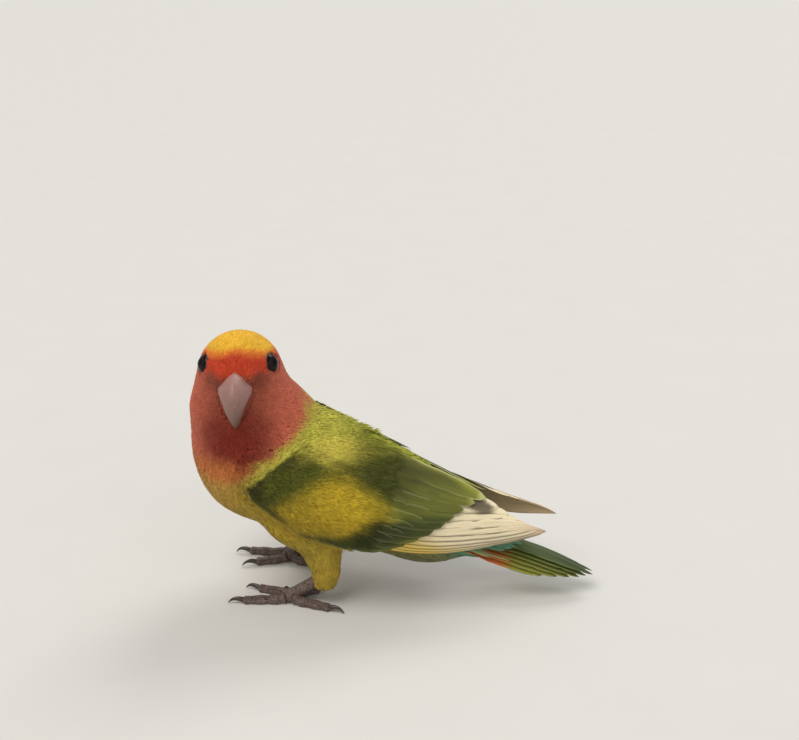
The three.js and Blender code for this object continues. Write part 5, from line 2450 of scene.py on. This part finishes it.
@dataclass
class Wing:
    """A folded wing: padded shoulder, soft coverts, secondaries and primaries."""

    side: Side
    surface: WingSurface
    outline: Outline
    markings: WingMarkings
    body: Markings
    reach: float = 0.0
    level: float = 0.0
    tuck: float = 0.0
    primaries: int = 9
    secondaries: int = 10
    short_spacing: float = 1.2
    wrist_spacing: float = 0.85
    long_spacing: float = 2.3
    wall: float = 0.2
    cream: Triple = (238, 222, 184)
    buff: Triple = (226, 194, 92)
    blush: Triple = (218, 190, 160)
    line: Triple = (64, 50, 30)
    # under: the undersides' darker tan, partly their own duller colour and partly painted shade.
    under: Triple = (184, 158, 120)
    hollow: Triple = (58, 48, 30)
    margin: Triple = (222, 220, 150)

    def paint_primary(self, k: float, places: Array, points: Array, chart: Array) -> Array:
        """Colours of one primary: cream, buff in front and below, with a dark leading edge.

        Args:
            k: The feather's place in its row, 0 to 1.
            places: Each point's place on the feather.
            points: The feather's points.
            chart: Each point's place on the piece's chart.

        Returns:
            One linear colour for each point.
        """
        s, v = chart[:, 0], chart[:, 1]
        paler = ease(s - 0.55 * (v - 0.8), 0.5, 0.72)
        colour = mix(linear(*self.buff), linear(*self.cream), paler[:, None])
        colour = laid(colour, self.blush, ease(s, 0.86, 0.98))
        web = np.column_stack([places[:, 0] * 6, places[:, 1] * 2, np.full(len(s), 5 * k)])
        streak = speckle(web, 0.7, 51)
        colour = colour * (1 + 0.05 * streak[:, None])
        # A dark oval under the innermost tertial's tip: partly painted shadow, partly the dark base of the innermost
        # primary.
        hole = np.hypot((s - 0.765) / 0.05, (v - 0.2) / 0.14)
        colour = laid(colour, self.hollow, 0.85 * (1 - ease(hole, 0.7, 1.2)))
        lead = ease(places[:, 0], 0.74, 0.92) * mix(1.0, 0.75, k)
        colour = laid(colour, self.line, 0.9 * lead)
        shaft = np.exp(-((places[:, 0] / 0.05) ** 2))
        colour = mix(colour, colour * 0.75, shaft[:, None])
        # Undersides take the darker tan: partly their own duller colour, partly painted shade.
        under = np.arange(len(points)) >= len(points) // 2
        return np.where(under[:, None], mix(colour, linear(*self.under), 0.8), colour)

    def paint_secondary(self, k: float, places: Array, points: Array, chart: Array) -> Array:
        """Colours of one secondary: green, darker along its streaks, with a fine pale rim.

        Args:
            k: The feather's place in its row, 0 to 1.
            places: Each point's place on the feather.
            points: The feather's points.
            chart: Each point's place on the piece's chart.

        Returns:
            One linear colour for each point.
        """
        colour = self.markings.at(chart[:, 0], chart[:, 1], points)
        web = np.column_stack([places[:, 0] * 5, places[:, 1] * 2, np.full(len(points), 9 * k)])
        streak = speckle(web, 0.7, 31)
        colour = colour * (1 + 0.2 * streak[:, None])
        under = np.arange(len(points)) >= len(points) // 2
        colour = np.where(under[:, None], 0.7 * colour, colour)
        rim = edged(colour, linear(*self.margin), places, mix(0.05, 0.1, float(ease(k, 0.75, 1))))
        return mix(colour, rim, mix(0.12, 0.9, float(ease(k, 0.75, 1))))

    def primary_line(self, k: float) -> list[Triple]:
        """Root, middle and tip of a primary: share back, share down and height.

        Args:
            k: The feather's place in its row, 0 to 1.

        Returns:
            The three places.
        """
        tip_s = np.interp(k, [0, 0.15, 0.35, 0.6, 0.8, 1], [0.985, 0.985, 0.965, 0.925, 0.88, 0.83])
        tip_s = tip_s + self.reach
        tip_v = np.interp(k, [0, 0.15, 0.35, 0.6, 0.8, 1], [0.75, 0.69, 0.59, 0.42, 0.27, 0.13])
        root = (mix(0.3, 0.42, k), mix(0.76, 0.42, k), mix(0.15, 0.9, k))
        tip = (float(tip_s), float(tip_v), mix(0.15, 1.2, k))
        middle = tuple(mix(a, b, 0.5) for a, b in zip(root, tip))
        return [root, (middle[0], middle[1] + mix(0.1, 0.03, k), middle[2]), tip]

    def secondary_line(self, k: float) -> list[Triple]:
        """Root, middle and tip of a secondary: share back, share down and height.

        Args:
            k: The feather's place in its row, 0 to 1.

        Returns:
            The three places.
        """
        steps = [0, 0.25, 0.5, 0.75, 1]
        tip_s = float(np.interp(k, steps, [0.455, 0.53, 0.62, 0.69, 0.785]))
        tip_v = float(np.interp(k, steps, [0.83, 0.69, 0.52, 0.33, 0.085]))
        root_v = mix(0.78, 0.05, k)
        top = mix(1.3, 2.3, k)
        middle = (mix(0.24, tip_s, 0.5), mix(root_v, tip_v, 0.5) + 0.02, 0.7 * top)
        return [(0.24, root_v, 0.2), middle, (tip_s, tip_v, top)]

    def levelled(self, made: Sheaf) -> Sheaf:
        """The same mesh with its rear part laid flatter over the back.

        Args:
            made: The mesh.

        Returns:
            The changed mesh.
        """
        for p in made.points:
            p[:, 2] += np.minimum(self.level * p[:, 0] * ease(p[:, 1], 30, 60), 3)
        return made

    def lowered(self, made: Sheaf) -> Sheaf:
        """The same mesh with its upper edge let down behind the other wing's.

        Args:
            made: The mesh.

        Returns:
            The changed mesh.
        """
        for p in made.points:
            p[:, 2] -= self.tuck * (1 - ease(p[:, 0], 1, 9)) * ease(p[:, 1], 2, 14)
        return made

    def hand(self) -> Piece:
        """Builds the primaries, outermost first.

        Returns:
            The piece.
        """
        made = Sheaf()
        FeatherRow(
            self.primaries,
            self.primary_line,
            lambda k: Vane(
                mix(3.3, 4.8, k), rows=36, round_from=0.7, tip_power=1.8, outer_share=0.62, camber=0.1
            ),
            self.paint_primary,
            seed=1,
        ).build(self.surface.sheet, made)
        web = VaneFinish("primary web").material()
        obj = self.levelled(made).mirrored(self.side).piece(f"primaries_{self.side.label}", web)
        return hand_over(obj, Slot.FLIGHT, f"wing_hand_{self.side.label}")

    def arm(self) -> Piece:
        """Builds the secondaries.

        Returns:
            The piece.
        """
        made = Sheaf()
        FeatherRow(
            self.secondaries,
            self.secondary_line,
            lambda k: Vane(
                4.8, rows=32, round_from=0.68, outer_share=0.8,
                inner_share=mix(1, 0.85, float(ease(k, 0.7, 1))), camber=0.15
            ),
            self.paint_secondary,
            seed=2,
        ).build(self.surface.sheet, made)
        web = VaneFinish("secondary web").material()
        obj = self.lowered(made).mirrored(self.side).piece(f"secondaries_{self.side.label}", web)
        return hand_over(obj, Slot.WING)

    def pad(self) -> Piece:
        """Builds the padded flesh of the wing under its coverts.

        Returns:
            The piece.
        """
        rows, strips = 64, 40
        share = np.linspace(0, 1, rows)
        s = mix(-0.02, 0.46, share)
        opening = np.sqrt(1 - (1 - np.clip(share / 0.22, 0, 1)) ** 2)
        high = mix(0.3, 0.0, opening)
        low = 0.5 + 0.38 * mix(0.25, 1, opening) * np.sqrt(1 - np.clip((share - 0.6) / 0.8, 0, 1) ** 2)
        v = mix(high[:, None], low[:, None], np.linspace(0, 1, strips)[None])
        ss = np.broadcast_to(s[:, None], v.shape)
        edge = np.sin(np.pi * np.linspace(0.02, 0.98, strips)) ** 0.4
        edge = edge * np.sin(np.pi * np.clip(share, 0.01, 0.99))[:, None] ** 0.3
        thick = np.maximum(self.surface.crown(ss, v) - 0.9, 0.2) * edge
        top = self.surface.sheet.at(ss, v, thick)
        bottom = self.surface.sheet.at(ss, v, -0.25)
        points = np.vstack([top.reshape(-1, 3), bottom.reshape(-1, 3)])
        points[:, 0] = np.maximum(points[:, 0], self.wall)
        faces = slab_faces(rows, strips)
        faces_to = np.cross(top[1, 0] - top[0, 0], top[0, 1] - top[0, 0])
        up = faces_to @ self.surface.sheet.out(s[:1], v[0, :1])[0]
        # The pad is painted at three quarters of the coverts' colour: painted shade under the coverts.
        colours = 0.75 * self.paint_soft(points)
        made = Sheaf()
        made.add(points, [f[:, ::-1] for f in faces] if up < 0 else faces, colours)
        finish = FeatherFinish("wing under feathers").material()
        obj = self.lowered(made).mirrored(self.side).piece(f"wing_pad_{self.side.label}", finish)
        return hand_over(obj, Slot.WING, f"wing_arm_{self.side.label}")

    def paint_soft(self, p: Array) -> Array:
        """Colours of the soft coverts at places over the wing, with the body's in front and below.

        Args:
            p: Points, (n, 3).

        Returns:
            One linear colour for each point.
        """
        near = self.surface.look_up(p)[0]
        s, v = self.surface.s[near], self.surface.v[near]
        front = np.interp(v, [0, 0.15, 0.22, 0.5, 0.8, 1], [0.13, 0.085, 0.045, -0.01, 0.0, 0.04])
        grain = 0.012 * speckle(p, 1.6, 61) + 0.012 * speckle(p, 4, 62)
        own = ease(s - front + grain, -0.012, 0.012) * (1 - ease(v + 3 * grain, 0.93, 1.0))
        place = p * [self.side.value, 1, 1]
        return mix(self.body.coat(place), self.markings.at(s, v, p), own[:, None])

    def covert_tufts(self, s: Array, v: Array, size: Array, overlap: float, spread: float) -> Tufts:
        """Coverts that lie on the padded wing.

        Args:
            s: Candidates for their shares back.
            v: Candidates for their shares down.
            size: Their spacing.
            overlap: Length as a multiple of the spacing.
            spread: How unevenly they lie, in radians.

        Returns:
            The tufts.
        """
        rng = np.random.default_rng(SEED + len(s))
        level = self.outline.distance
        kept = thinned(self.surface.at(s, v), size, SEED + 1)
        s, v, size = s[kept], v[kept], size[kept]
        spots = settle(level, self.surface.at(s, v))
        normal = slope_of(level, spots)
        ahead = self.surface.at(s + 0.02, v + 0.004) - self.surface.at(s, v)
        along = unit(ahead - (ahead * normal).sum(1, keepdims=True) * normal)
        turn = rng.normal(0, spread, (len(s), 1))
        along = along * np.cos(turn) + np.cross(normal, along) * np.sin(turn)
        length = size * overlap * (0.85 + 0.3 * rng.random(len(s)))
        chart_s, chart_v = np.clip((s + 0.06) / 0.6, 0, 1), np.clip(v, 0, 1)
        place = np.column_stack([0.01 + 0.98 * chart_s, 0.01 + 0.98 * chart_v])
        root = spots - along * (0.42 * length)[:, None]
        return Tufts(root, normal, along, length, 0.92 * size, 0.4 + 0.3 * size, place)

    def short_coverts(self) -> Piece:
        """Builds the lesser and median coverts and the scapulars as small tufts.

        Returns:
            The piece.
        """
        rng = np.random.default_rng(SEED + 5)
        s, v = rng.uniform(-0.06, 0.4, 60000), rng.uniform(-0.03, 1.0, 60000)
        inside = s < 0.39 - 0.03 * v
        s, v = s[inside], v[inside]
        size = mix(self.wrist_spacing, self.short_spacing, ease(s, 0.0, 0.16))
        tufts = self.covert_tufts(s, v, size, 3.6, 0.17)
        barber = Barber(self.outline.distance, self.paint_soft, 6, 0.3, 0.1, 0.3, variety=0.11, tuft_variety=0.07)
        made = self.lowered(barber.fans(tufts)).mirrored(self.side)
        obj = made.piece(f"short_coverts_{self.side.label}", FeatherFinish("covert feathers").material())
        return hand_over(obj, Slot.WING)

    def long_coverts(self) -> Piece:
        """Builds the greater coverts as long soft tufts over the roots of the secondaries.

        Returns:
            The piece.
        """
        rng = np.random.default_rng(SEED + 6)
        s, v = rng.uniform(0.26, 0.5, 9000), rng.uniform(0.03, 0.9, 9000)
        inside = s < 0.49 - 0.12 * v
        s, v = s[inside], v[inside]
        tufts = self.covert_tufts(s, v, np.full(len(s), self.long_spacing), 4.4, 0.08)
        barber = Barber(self.outline.distance, self.paint_soft, 13, 0.25, 0.09, 0.22, variety=0.12, tuft_variety=0.06)
        made = self.lowered(barber.fans(tufts)).mirrored(self.side)
        soft = FeatherFinish("long covert feathers").material()
        obj = made.piece(f"long_coverts_{self.side.label}", soft)
        return hand_over(obj, Slot.WING)

    def build(self) -> list[Piece]:
        """Builds the whole wing."""
        return [self.pad(), self.hand(), self.arm(), self.short_coverts(), self.long_coverts()]


# The tail

@dataclass
class Tail:
    """Twelve tail feathers in a shallow roof, with the coverts over and under them."""

    root: Triple = (0, 47, 20.5)
    tip: Triple = (0, 95.5, 5.2)
    sag: float = 2.4
    roof: float = 0.03
    pairs: int = 6
    leaf: Triple = (76, 92, 42)
    dark: Triple = (38, 46, 30)
    orange: Triple = (206, 112, 58)
    turquoise: Triple = (78, 134, 122)
    yellow: Triple = (160, 156, 62)
    rim: Triple = (126, 134, 80)

    def on(self, t: Array, x: Array, height: Array) -> Array:
        """Points on the tail at a share of its length, a side offset and a height.

        Args:
            t: Shares of its length.
            x: Offsets to the side.
            height: Heights over the tail.

        Returns:
            The points.
        """
        sag = self.sag * np.sin(np.pi * np.clip(t, 0, 1))
        y = mix(self.root[1], self.tip[1], t)
        z = mix(self.root[2], self.tip[2], t) + sag - self.roof * x * x + height
        return np.column_stack([x, y, z])

    def feather(
        self, made: Sheaf, root: Sequence[float], tip: Sequence[float], vane: Vane, paint: Callable, seed: int
    ) -> None:
        """Adds one feather from one place on the tail to another.

        Args:
            made: The mesh that takes it.
            root: Share along, side offset and height of its root.
            tip: The same of its tip.
            vane: Its shape.
            paint: Gives its colours from its places and points.
            seed: Picks its edges.
        """
        t = np.linspace(0, 1, vane.rows)[:, None]
        line = mix(np.array(root, float), np.array(tip, float), t)
        middle = self.on(line[:, 0], line[:, 1], line[:, 2])
        slope = unit(np.column_stack([np.ones(len(t)), np.zeros(len(t)), -2 * self.roof * middle[:, 0]]))
        out = unit(np.cross(slope, unit(np.gradient(middle, axis=0))))
        rng = np.random.default_rng(seed)
        points, faces, places, chart = vane.grid(middle, out, 1 if root[1] < 0 else -1, rng)
        made.add(points, faces, paint(places, points), vane=chart)

    def paint(self, places: Array, points: Array, outer: float) -> Array:
        """Colours of a tail feather: green, yellower and with an orange base on the outer ones.

        Args:
            places: Each point's place on the feather.
            points: The feather's points.
            outer: How far out in the tail the feather is, 0 to 1.

        Returns:
            One linear colour for each point.
        """
        t = (points[:, 1] - self.root[1]) / (self.tip[1] - self.root[1])
        streak = speckle(np.column_stack([places[:, 0] * 6, places[:, 1] * 2, points[:, 0] * 0.2]), 0.7, 41)
        warmer = outer * 0.85 * ease(t, 0.2, 0.45)
        colour = mix(linear(*self.leaf), linear(*self.yellow), warmer[..., None])
        base = (1 - ease(t + 0.06 * streak, 0.3, 0.46)) * mix(0.3, 1.0, outer)
        colour = laid(colour, self.orange, 0.95 * base)
        web = np.exp(-((places[:, 0] / 0.55) ** 2)) * (1 - 0.7 * outer)
        dusk = 0.75 * web * ease(t + 0.08 * streak, 0.55, 0.85)
        colour = laid(colour, self.dark, np.clip(dusk, 0, 1))
        colour = colour * (1 + 0.25 * streak[:, None])
        return edged(colour, linear(*self.rim), places, 0.06)

    def feathers(self) -> Piece:
        """Builds the twelve tail feathers.

        Returns:
            The piece.
        """
        made = Sheaf()
        for pair in reversed(range(self.pairs)):
            k = pair / (self.pairs - 1)
            for side in Side:
                height = mix(1.6, -2.9, k) + (0.12 if side is Side.LEFT else 0)
                vane = Vane(3.4, rows=34, round_from=0.6, tip_power=1.6, outer_share=0.75, camber=0.15, splits=3)
                reach = float(np.interp(k, [0, 0.2, 0.4, 0.6, 0.8, 1], [1, 0.95, 0.9, 0.83, 0.74, 0.63]))
                self.feather(
                    made,
                    (0.1, side.value * mix(1.0, 3.6, k), height),
                    (reach, side.value * mix(1.4, 6.2, k), height - 0.6 * k),
                    vane,
                    lambda places, points, k=k: self.paint(places, points, k),
                    SEED + pair * 2 + side.value,
                )
        obj = made.piece("tail_feathers", VaneFinish("tail web").material())
        return hand_over(obj, Slot.TAIL, "tail")

    def coverts(self) -> Piece:
        """Builds the coverts over and under the tail's root.

        Returns:
            The piece.
        """
        made = Sheaf()
        rng = np.random.default_rng(SEED + 77)
        for over, reach, height, count in ((True, 0.5, 4.4, 17), (False, 0.5, -4.8, 19)):
            for row in range(4):
                for i in range(count):
                    x = mix(-5.4, 5.4, i / (count - 1)) * (1 - 0.1 * row) + rng.normal(0, 0.25)
                    short = 0.07 * abs(x / 3.6) + 0.09 * row + rng.uniform(-0.03, 0.03)
                    level = height * (1 - 0.02 * x * x) + (0.25 * row if over else -0.25 * row)
                    tip_level = 0.45 * height + (0.3 * row if over else -0.3 * row) + rng.normal(0, 0.15)
                    vane = Vane(mix(1.3, 1.8, rng.random()), 0.14, rows=12, strips=6, round_from=0.4, splits=3)
                    self.feather(
                        made,
                        (max(-0.1, 0.1 - 0.07 * row), x * 0.8, level),
                        (reach - short, x + rng.normal(0, 0.3), tip_level),
                        vane,
                        lambda places, points, over=over: self.paint_covert(places, points, over),
                        int(rng.integers(1 << 30)),
                    )
        obj = made.piece("tail_coverts", VaneFinish("tail covert web").material())
        return hand_over(obj, Slot.TAIL)

    def paint_covert(self, places: Array, points: Array, over: bool) -> Array:
        """Colours of a tail covert: turquoise above, pale grey-green and yellow below.

        Args:
            places: Each point's place on the feather.
            points: The feather's points.
            over: Whether the covert lies over the tail.

        Returns:
            One linear colour for each point.
        """
        streak = speckle(points * [1, 0.4, 1], 1.0, 43)
        above = mix(linear(*self.turquoise), linear(120, 160, 70), (0.5 + 0.5 * streak)[:, None] * 0.5)
        below = mix(linear(168, 168, 122), linear(212, 206, 140), (0.5 + 0.5 * streak)[:, None])
        return (above if over else below) * (1 + 0.15 * streak[:, None])


# The feet

@dataclass
class Foot:
    """A bare shank, its toes with rows of scutes, and their claws."""

    side: Side
    shank_radius: float = 1.9
    toe_radius: float = 1.6
    toe_root: float = 1.6
    flat: float = 0.35
    claw_length: float = 5.6
    toes: dict[str, Triple] = field(default_factory=lambda: {
        "inner_front": (12.5, -17, -1.7),
        "outer_front": (16, 5, 1.7),
        "inner_back": (10, -155, -1.7),
        "outer_back": (15, 163, 1.7),
    })

    @property
    def stride(self) -> float:
        """How far ahead of the left foot this one stands."""
        return STRIDE if self.side is Side.RIGHT else 0.0

    def on_toe(self, toe: str, reach: Array, height: Array) -> Array:
        """Points on a toe's line at a reach from its root, in the left foot's shape.

        Args:
            toe: The toe's name.
            reach: Reaches from the toe's root.
            height: Heights over the floor.

        Returns:
            The points.
        """
        _, angle, beside = self.toes[toe]
        a = math.radians(angle)
        return np.column_stack([
            HUB[0] + beside + reach * math.sin(a),
            HUB[1] - self.stride - reach * math.cos(a),
            height + 0 * reach,
        ])

    def mirrored(self, points: Array) -> Array:
        """Points of the left foot's shape on this foot's side."""
        return points * [self.side.value, 1, 1]

    def toe(self, toe: str) -> tuple[Array, list[Array], Array, Array]:
        """One toe's closed form, and the line and radii that its scutes follow.

        Args:
            toe: The toe's name.

        Returns:
            Its points and faces, and the line and the radii.
        """
        length = self.toes[toe][0]
        reach = np.array([self.toe_root, length * 0.3, length * 0.65, length])
        r = self.toe_radius
        heights = np.array([2.2, r + 0.1, r, r * 0.82 + 0.15]) - [0, self.flat, self.flat, self.flat]
        rail = Rail(self.on_toe(toe, reach, heights))
        t = np.linspace(0, 1, 44)
        joints = round(length / 5)
        radius = mix(r * 1.1, r * 0.8, t) * (1 + 0.1 * np.cos(2 * np.pi * joints * t))
        radius[-3:] *= [0.97, 0.85, 0.55]
        middles, run = rail.at(t), rail.slope(t)
        deep = np.tile([0.0, 0, 1], (len(t), 1))
        across = unit(np.cross(run, deep))
        points, faces = swept(middles, across, np.cross(run, across), radius * 0.98, radius, 28)
        folds = 1 - 0.03 * (np.cos(2 * np.pi * t * length / 1.5) > 0.6)
        body = points[:-2].reshape(44, 28, 3)
        low = body[..., 2] < middles[:, None, 2]
        folded = middles[:, None] + (body - middles[:, None]) * folds[:, None, None]
        body = np.where(low[..., None], folded, body)
        points = np.vstack([body.reshape(-1, 3), points[-2:]])
        points[:, 2] = np.maximum(points[:, 2], 0.02)
        return points, faces, middles, radius

    def shank(self) -> tuple[Array, list[Array]]:
        """The shank down from the ankle to the hub.

        Returns:
            Its points and faces.
        """
        hub = np.array(HUB) - [0, self.stride, 0]
        ankle = np.array([FOOT_SPREAD + 2, 5.5 - self.stride / 2, 12.5])
        t = np.linspace(0, 1, 30)
        rail = Rail([ankle, mix(ankle, hub, 0.55), hub])
        run = rail.slope(t)
        across = unit(np.cross(run, [0, 0, 1.0]))
        radius = mix(self.shank_radius, 2.2, t)
        return swept(rail.at(t), across, np.cross(run, across), radius, radius * 0.98, 32)

    def hub(self) -> tuple[Array, Array]:
        """The pad where the toes meet.

        Returns:
            Its points and faces.
        """
        ball = Mass((HUB[0], HUB[1] - self.stride, HUB[2]), (2.95, 3.1, 2.4))
        points, faces = ball.shell(40)
        points[:, 2] = np.maximum(points[:, 2], 0.02)
        return points, faces

    def scutes(self, finish: Material) -> list[Piece]:
        """Rows of overlapping scutes along the top of the toes and down the shank.

        Args:
            finish: Their material.

        Returns:
            The pieces.
        """
        rows = []
        for toe in self.toes:
            _, _, middles, radius = self.toe(toe)
            top = middles[4:-2] + np.column_stack([0 * radius, 0 * radius, radius * 0.8])[4:-2]
            length = self.toes[toe][0]
            rows.append((f"scutes_{toe}", top, round(length / 0.95), 1.05, (0.0, 0.0, 1.0)))
        hub = np.array(HUB) - [0, self.stride, 0]
        ankle = np.array([FOOT_SPREAD + 2, 5.5 - self.stride / 2, 12.5])
        front = unit(np.cross(unit(hub - ankle), [1.0, 0, 0]))
        front = front if front[1] < 0 else -front
        t = np.linspace(0.15, 0.95, 12)[:, None]
        rows.append(("scutes_shank", mix(ankle, hub, t) + front * 1.55, 10, 1.1, tuple(front)))
        made = []
        for name, line, count, size, facing in rows:
            base = wire_object(f"{name}_{self.side.label}", self.mirrored(line))
            made.append(realized(base, ScuteRow(count, size * MM, finish, facing).tree()))
        return made

    def scaly(self) -> Piece:
        """Builds shank, hub and toes as one piece with their scutes.

        Returns:
            The piece.
        """
        finish = ScaleFinish().material()
        made = Sheaf()
        parts = [self.shank(), self.hub()]
        parts += [self.toe(toe)[:2] for toe in self.toes]
        for points, faces in parts:
            faces = faces if isinstance(faces, list) else [faces]
            points = self.mirrored(points)
            made.add(points, faces if self.side is Side.LEFT else [f[:, ::-1] for f in faces])
        core = made.piece(f"foot_core_{self.side.label}", finish)
        joined = join([core, *self.scutes(finish)], f"foot_{self.side.label}")
        label = self.side.label
        return hand_over(joined, Slot.SCALES, f"shank_{label}", *(f"toe_{toe}_{label}" for toe in self.toes))

    def claws(self) -> Piece:
        """Builds the four hooked claws.

        Returns:
            The piece.
        """
        made = Sheaf()
        for toe, (length, _, _) in self.toes.items():
            t = np.linspace(0, 1, 22)[:, None]
            reach = [length - 0.5, length + self.claw_length * 0.62, length + self.claw_length * 0.92]
            rise = [self.toe_radius * 0.82 - self.flat + 0.3, self.toe_radius + 1.4, 0.35]
            a, b, c = (self.on_toe(toe, np.array([r]), np.array([h])) for r, h in zip(reach, rise))
            middles = a * (1 - t) ** 2 + 2 * t * (1 - t) * b + t**2 * c
            run = unit(np.gradient(middles, axis=0))
            across = unit(np.cross(run, [0, 0, 1.0]))
            size = mix(1.0, 0.14, t[:, 0] ** 1.3)
            points, faces = swept(middles, across, np.cross(run, across), size * 0.8, size, 18)
            points[:, 2] = np.maximum(points[:, 2], 0.05)
            points = self.mirrored(points)
            made.add(points, faces if self.side is Side.LEFT else [f[:, ::-1] for f in faces])
        obj = made.piece(f"claws_{self.side.label}", ClawFinish().material())
        return hand_over(obj, Slot.CLAWS, *(f"claw_{toe}_{self.side.label}" for toe in self.toes))

    def build(self) -> list[Piece]:
        """Builds the whole foot."""
        return [self.scaly(), self.claws()]


@dataclass
class ScuteRow:
    """A Geometry Nodes tree that sets flattened, overlapping plates along a line of edges."""

    count: int
    size: float
    finish: Material
    facing: Triple = (0.0, 0.0, 1.0)

    def tree(self) -> bpy.types.NodeTree:
        """Builds the tree, with inputs for the count and the size.

        Returns:
            The tree.
        """
        group = bpy.data.node_groups.new("scute row", "GeometryNodeTree")
        face = group.interface
        face.new_socket("Geometry", in_out="INPUT", socket_type="NodeSocketGeometry")
        count = face.new_socket("Scute count", in_out="INPUT", socket_type="NodeSocketInt")
        count.default_value = self.count
        size = face.new_socket("Scute size", in_out="INPUT", socket_type="NodeSocketFloat")
        size.default_value = self.size
        face.new_socket("Geometry", in_out="OUTPUT", socket_type="NodeSocketGeometry")
        n, link = group.nodes.new, group.links.new
        start, end = n("NodeGroupInput"), n("NodeGroupOutput")
        curve, spread = n("GeometryNodeMeshToCurve"), n("GeometryNodeResampleCurve")
        plate, shape = n("GeometryNodeMeshIcoSphere"), n("GeometryNodeTransform")
        run, turn = n("GeometryNodeInputTangent"), n("FunctionNodeAlignRotationToVector")
        face_out = n("FunctionNodeAlignRotationToVector")
        face_out.axis, face_out.pivot_axis = "Z", "X"
        face_out.inputs["Vector"].default_value = self.facing
        put, real, dress = (
            n("GeometryNodeInstanceOnPoints"), n("GeometryNodeRealizeInstances"), n("GeometryNodeSetMaterial")
        )
        plate.inputs["Subdivisions"].default_value = 3
        shape.inputs["Scale"].default_value = (0.62, 1.25, 0.36)
        shape.inputs["Rotation"].default_value = (0, 0.35, 0)
        turn.axis = "X"
        dress.inputs["Material"].default_value = self.finish
        link(start.outputs["Geometry"], curve.inputs[0])
        link(curve.outputs[0], spread.inputs["Curve"])
        link(start.outputs["Scute count"], spread.inputs["Count"])
        link(start.outputs["Scute size"], plate.inputs["Radius"])
        link(plate.outputs[0], shape.inputs["Geometry"])
        link(run.outputs[0], turn.inputs["Vector"])
        link(spread.outputs[0], put.inputs["Points"])
        link(shape.outputs[0], put.inputs["Instance"])
        link(turn.outputs[0], face_out.inputs["Rotation"])
        link(face_out.outputs[0], put.inputs["Rotation"])
        link(put.outputs[0], real.inputs[0])
        link(real.outputs[0], dress.inputs["Geometry"])
        link(dress.outputs[0], end.inputs[0])
        return group


# The studio

@dataclass
class Studio:
    """The plain floor, the soft lights and the camera."""

    camera_at: Triple = (358.2, 53.1, 208.0)
    heading: tuple[float, float] = (-0.9976, -0.0698)
    pitch: float = 19.6
    focal_pixels: float = 1150.0
    photo_width: int = 799
    sensor: float = 36.0
    floor_half: float = 12.0
    surround: float = 0.45

    def camera(self) -> None:
        """Sets the camera at the photograph's viewing angle."""
        data = bpy.data.cameras.new("camera")
        data.sensor_width = self.sensor
        data.lens = self.focal_pixels * self.sensor / self.photo_width
        data.clip_start, data.clip_end = 0.01, 60
        cam = bpy.data.objects.new("camera", data)
        bpy.context.scene.collection.objects.link(cam)
        a = math.radians(self.pitch)
        look = Vector((self.heading[0] * math.cos(a), self.heading[1] * math.cos(a), -math.sin(a)))
        cam.location = Vector((np.array(self.camera_at) + TO_FRAME) * MM)
        cam.rotation_euler = look.to_track_quat("-Z", "Y").to_euler()
        bpy.context.scene.camera = cam

    def floor(self) -> None:
        """Lays the floor."""
        mesh = bpy.data.meshes.new("studio_floor")
        r = self.floor_half
        mesh.from_pydata([(-r, -r, 0), (r, -r, 0), (r, r, 0), (-r, r, 0)], [], [(0, 1, 2, 3)])
        mesh.materials.append(FloorFinish().material())
        obj = bpy.data.objects.new("studio_floor", mesh)
        bpy.context.scene.collection.objects.link(obj)
        obj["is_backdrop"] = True

    def light(
        self, name: str, at: Sequence[float], spread: float, strength: float, tint: Sequence[float]
    ) -> None:
        """Hangs one wide, far and so very soft light that shines at the bird.

        Args:
            name: The light's name.
            at: Where it hangs.
            spread: The angle that it fills, in degrees.
            strength: Its power.
            tint: Its colour.
        """
        data = bpy.data.lights.new(name, "SUN")
        data.angle, data.energy, data.color = math.radians(spread), strength, tint
        lamp = bpy.data.objects.new(name, data)
        lamp.location = at
        lamp.rotation_euler = (Vector((0, 0, 0.045)) - Vector(at)).to_track_quat("-Z", "Y").to_euler()
        bpy.context.scene.collection.objects.link(lamp)

    def lights(self) -> None:
        """Hangs the key, fill and rim lights, and sets a soft surround."""
        self.light("key", (1.0, -0.9, 2.2), 38.0, 1.5, (1.0, 0.97, 0.92))
        self.light("fill", (1.6, 1.2, 0.9), 50.0, 0.35, (0.95, 0.98, 1.0))
        self.light("rim", (-1.3, 0.6, 1.7), 30.0, 0.9, (1.0, 0.98, 0.95))
        world = bpy.data.worlds.new("surround")
        world.use_nodes = True
        world.node_tree.nodes["Background"].inputs[0].default_value = (0.93, 0.94, 0.96, 1)
        world.node_tree.nodes["Background"].inputs[1].default_value = self.surround
        bpy.context.scene.world = world
        bpy.context.scene.view_settings.view_transform = "Standard"

    def build(self) -> None:
        """Builds the studio."""
        self.camera()
        self.floor()
        self.lights()


def write_sizes() -> None:
    """Works out the solids' box and the visual model's box as plain lists."""
    boxes = {"cad": CAD_BOX, "visual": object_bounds()}
    plain = {name: [list(corner) for corner in box] for name, box in boxes.items()}


def main() -> None:
    """Builds the bird and the studio round it."""
    logging.basicConfig(level=logging.INFO, format="%(message)s")
    Studio().build()
    surface = WingSurface(WingSheet())
    outline = Outline(FORM, surface)
    body = Body(outline, Markings())
    body.coat(body.skin())
    for side in Side:
        far = side is Side.RIGHT
        reach, level, tuck = (FAR_HAND_REACH, FAR_HAND_LEVEL, FAR_ARM_TUCK) if far else (0.0, 0.0, 0.0)
        Wing(side, surface, outline, WingMarkings(), body.markings, reach, level, tuck).build()
        eye = Eye(side)
        eye.ball()
        eye.lids()
        Foot(side).build()
    tail = Tail()
    tail.feathers()
    tail.coverts()
    bill = Bill()
    bill.upper()
    bill.lower()
    bill.cere()
    write_sizes()


if __name__ == "__main__":
    main()
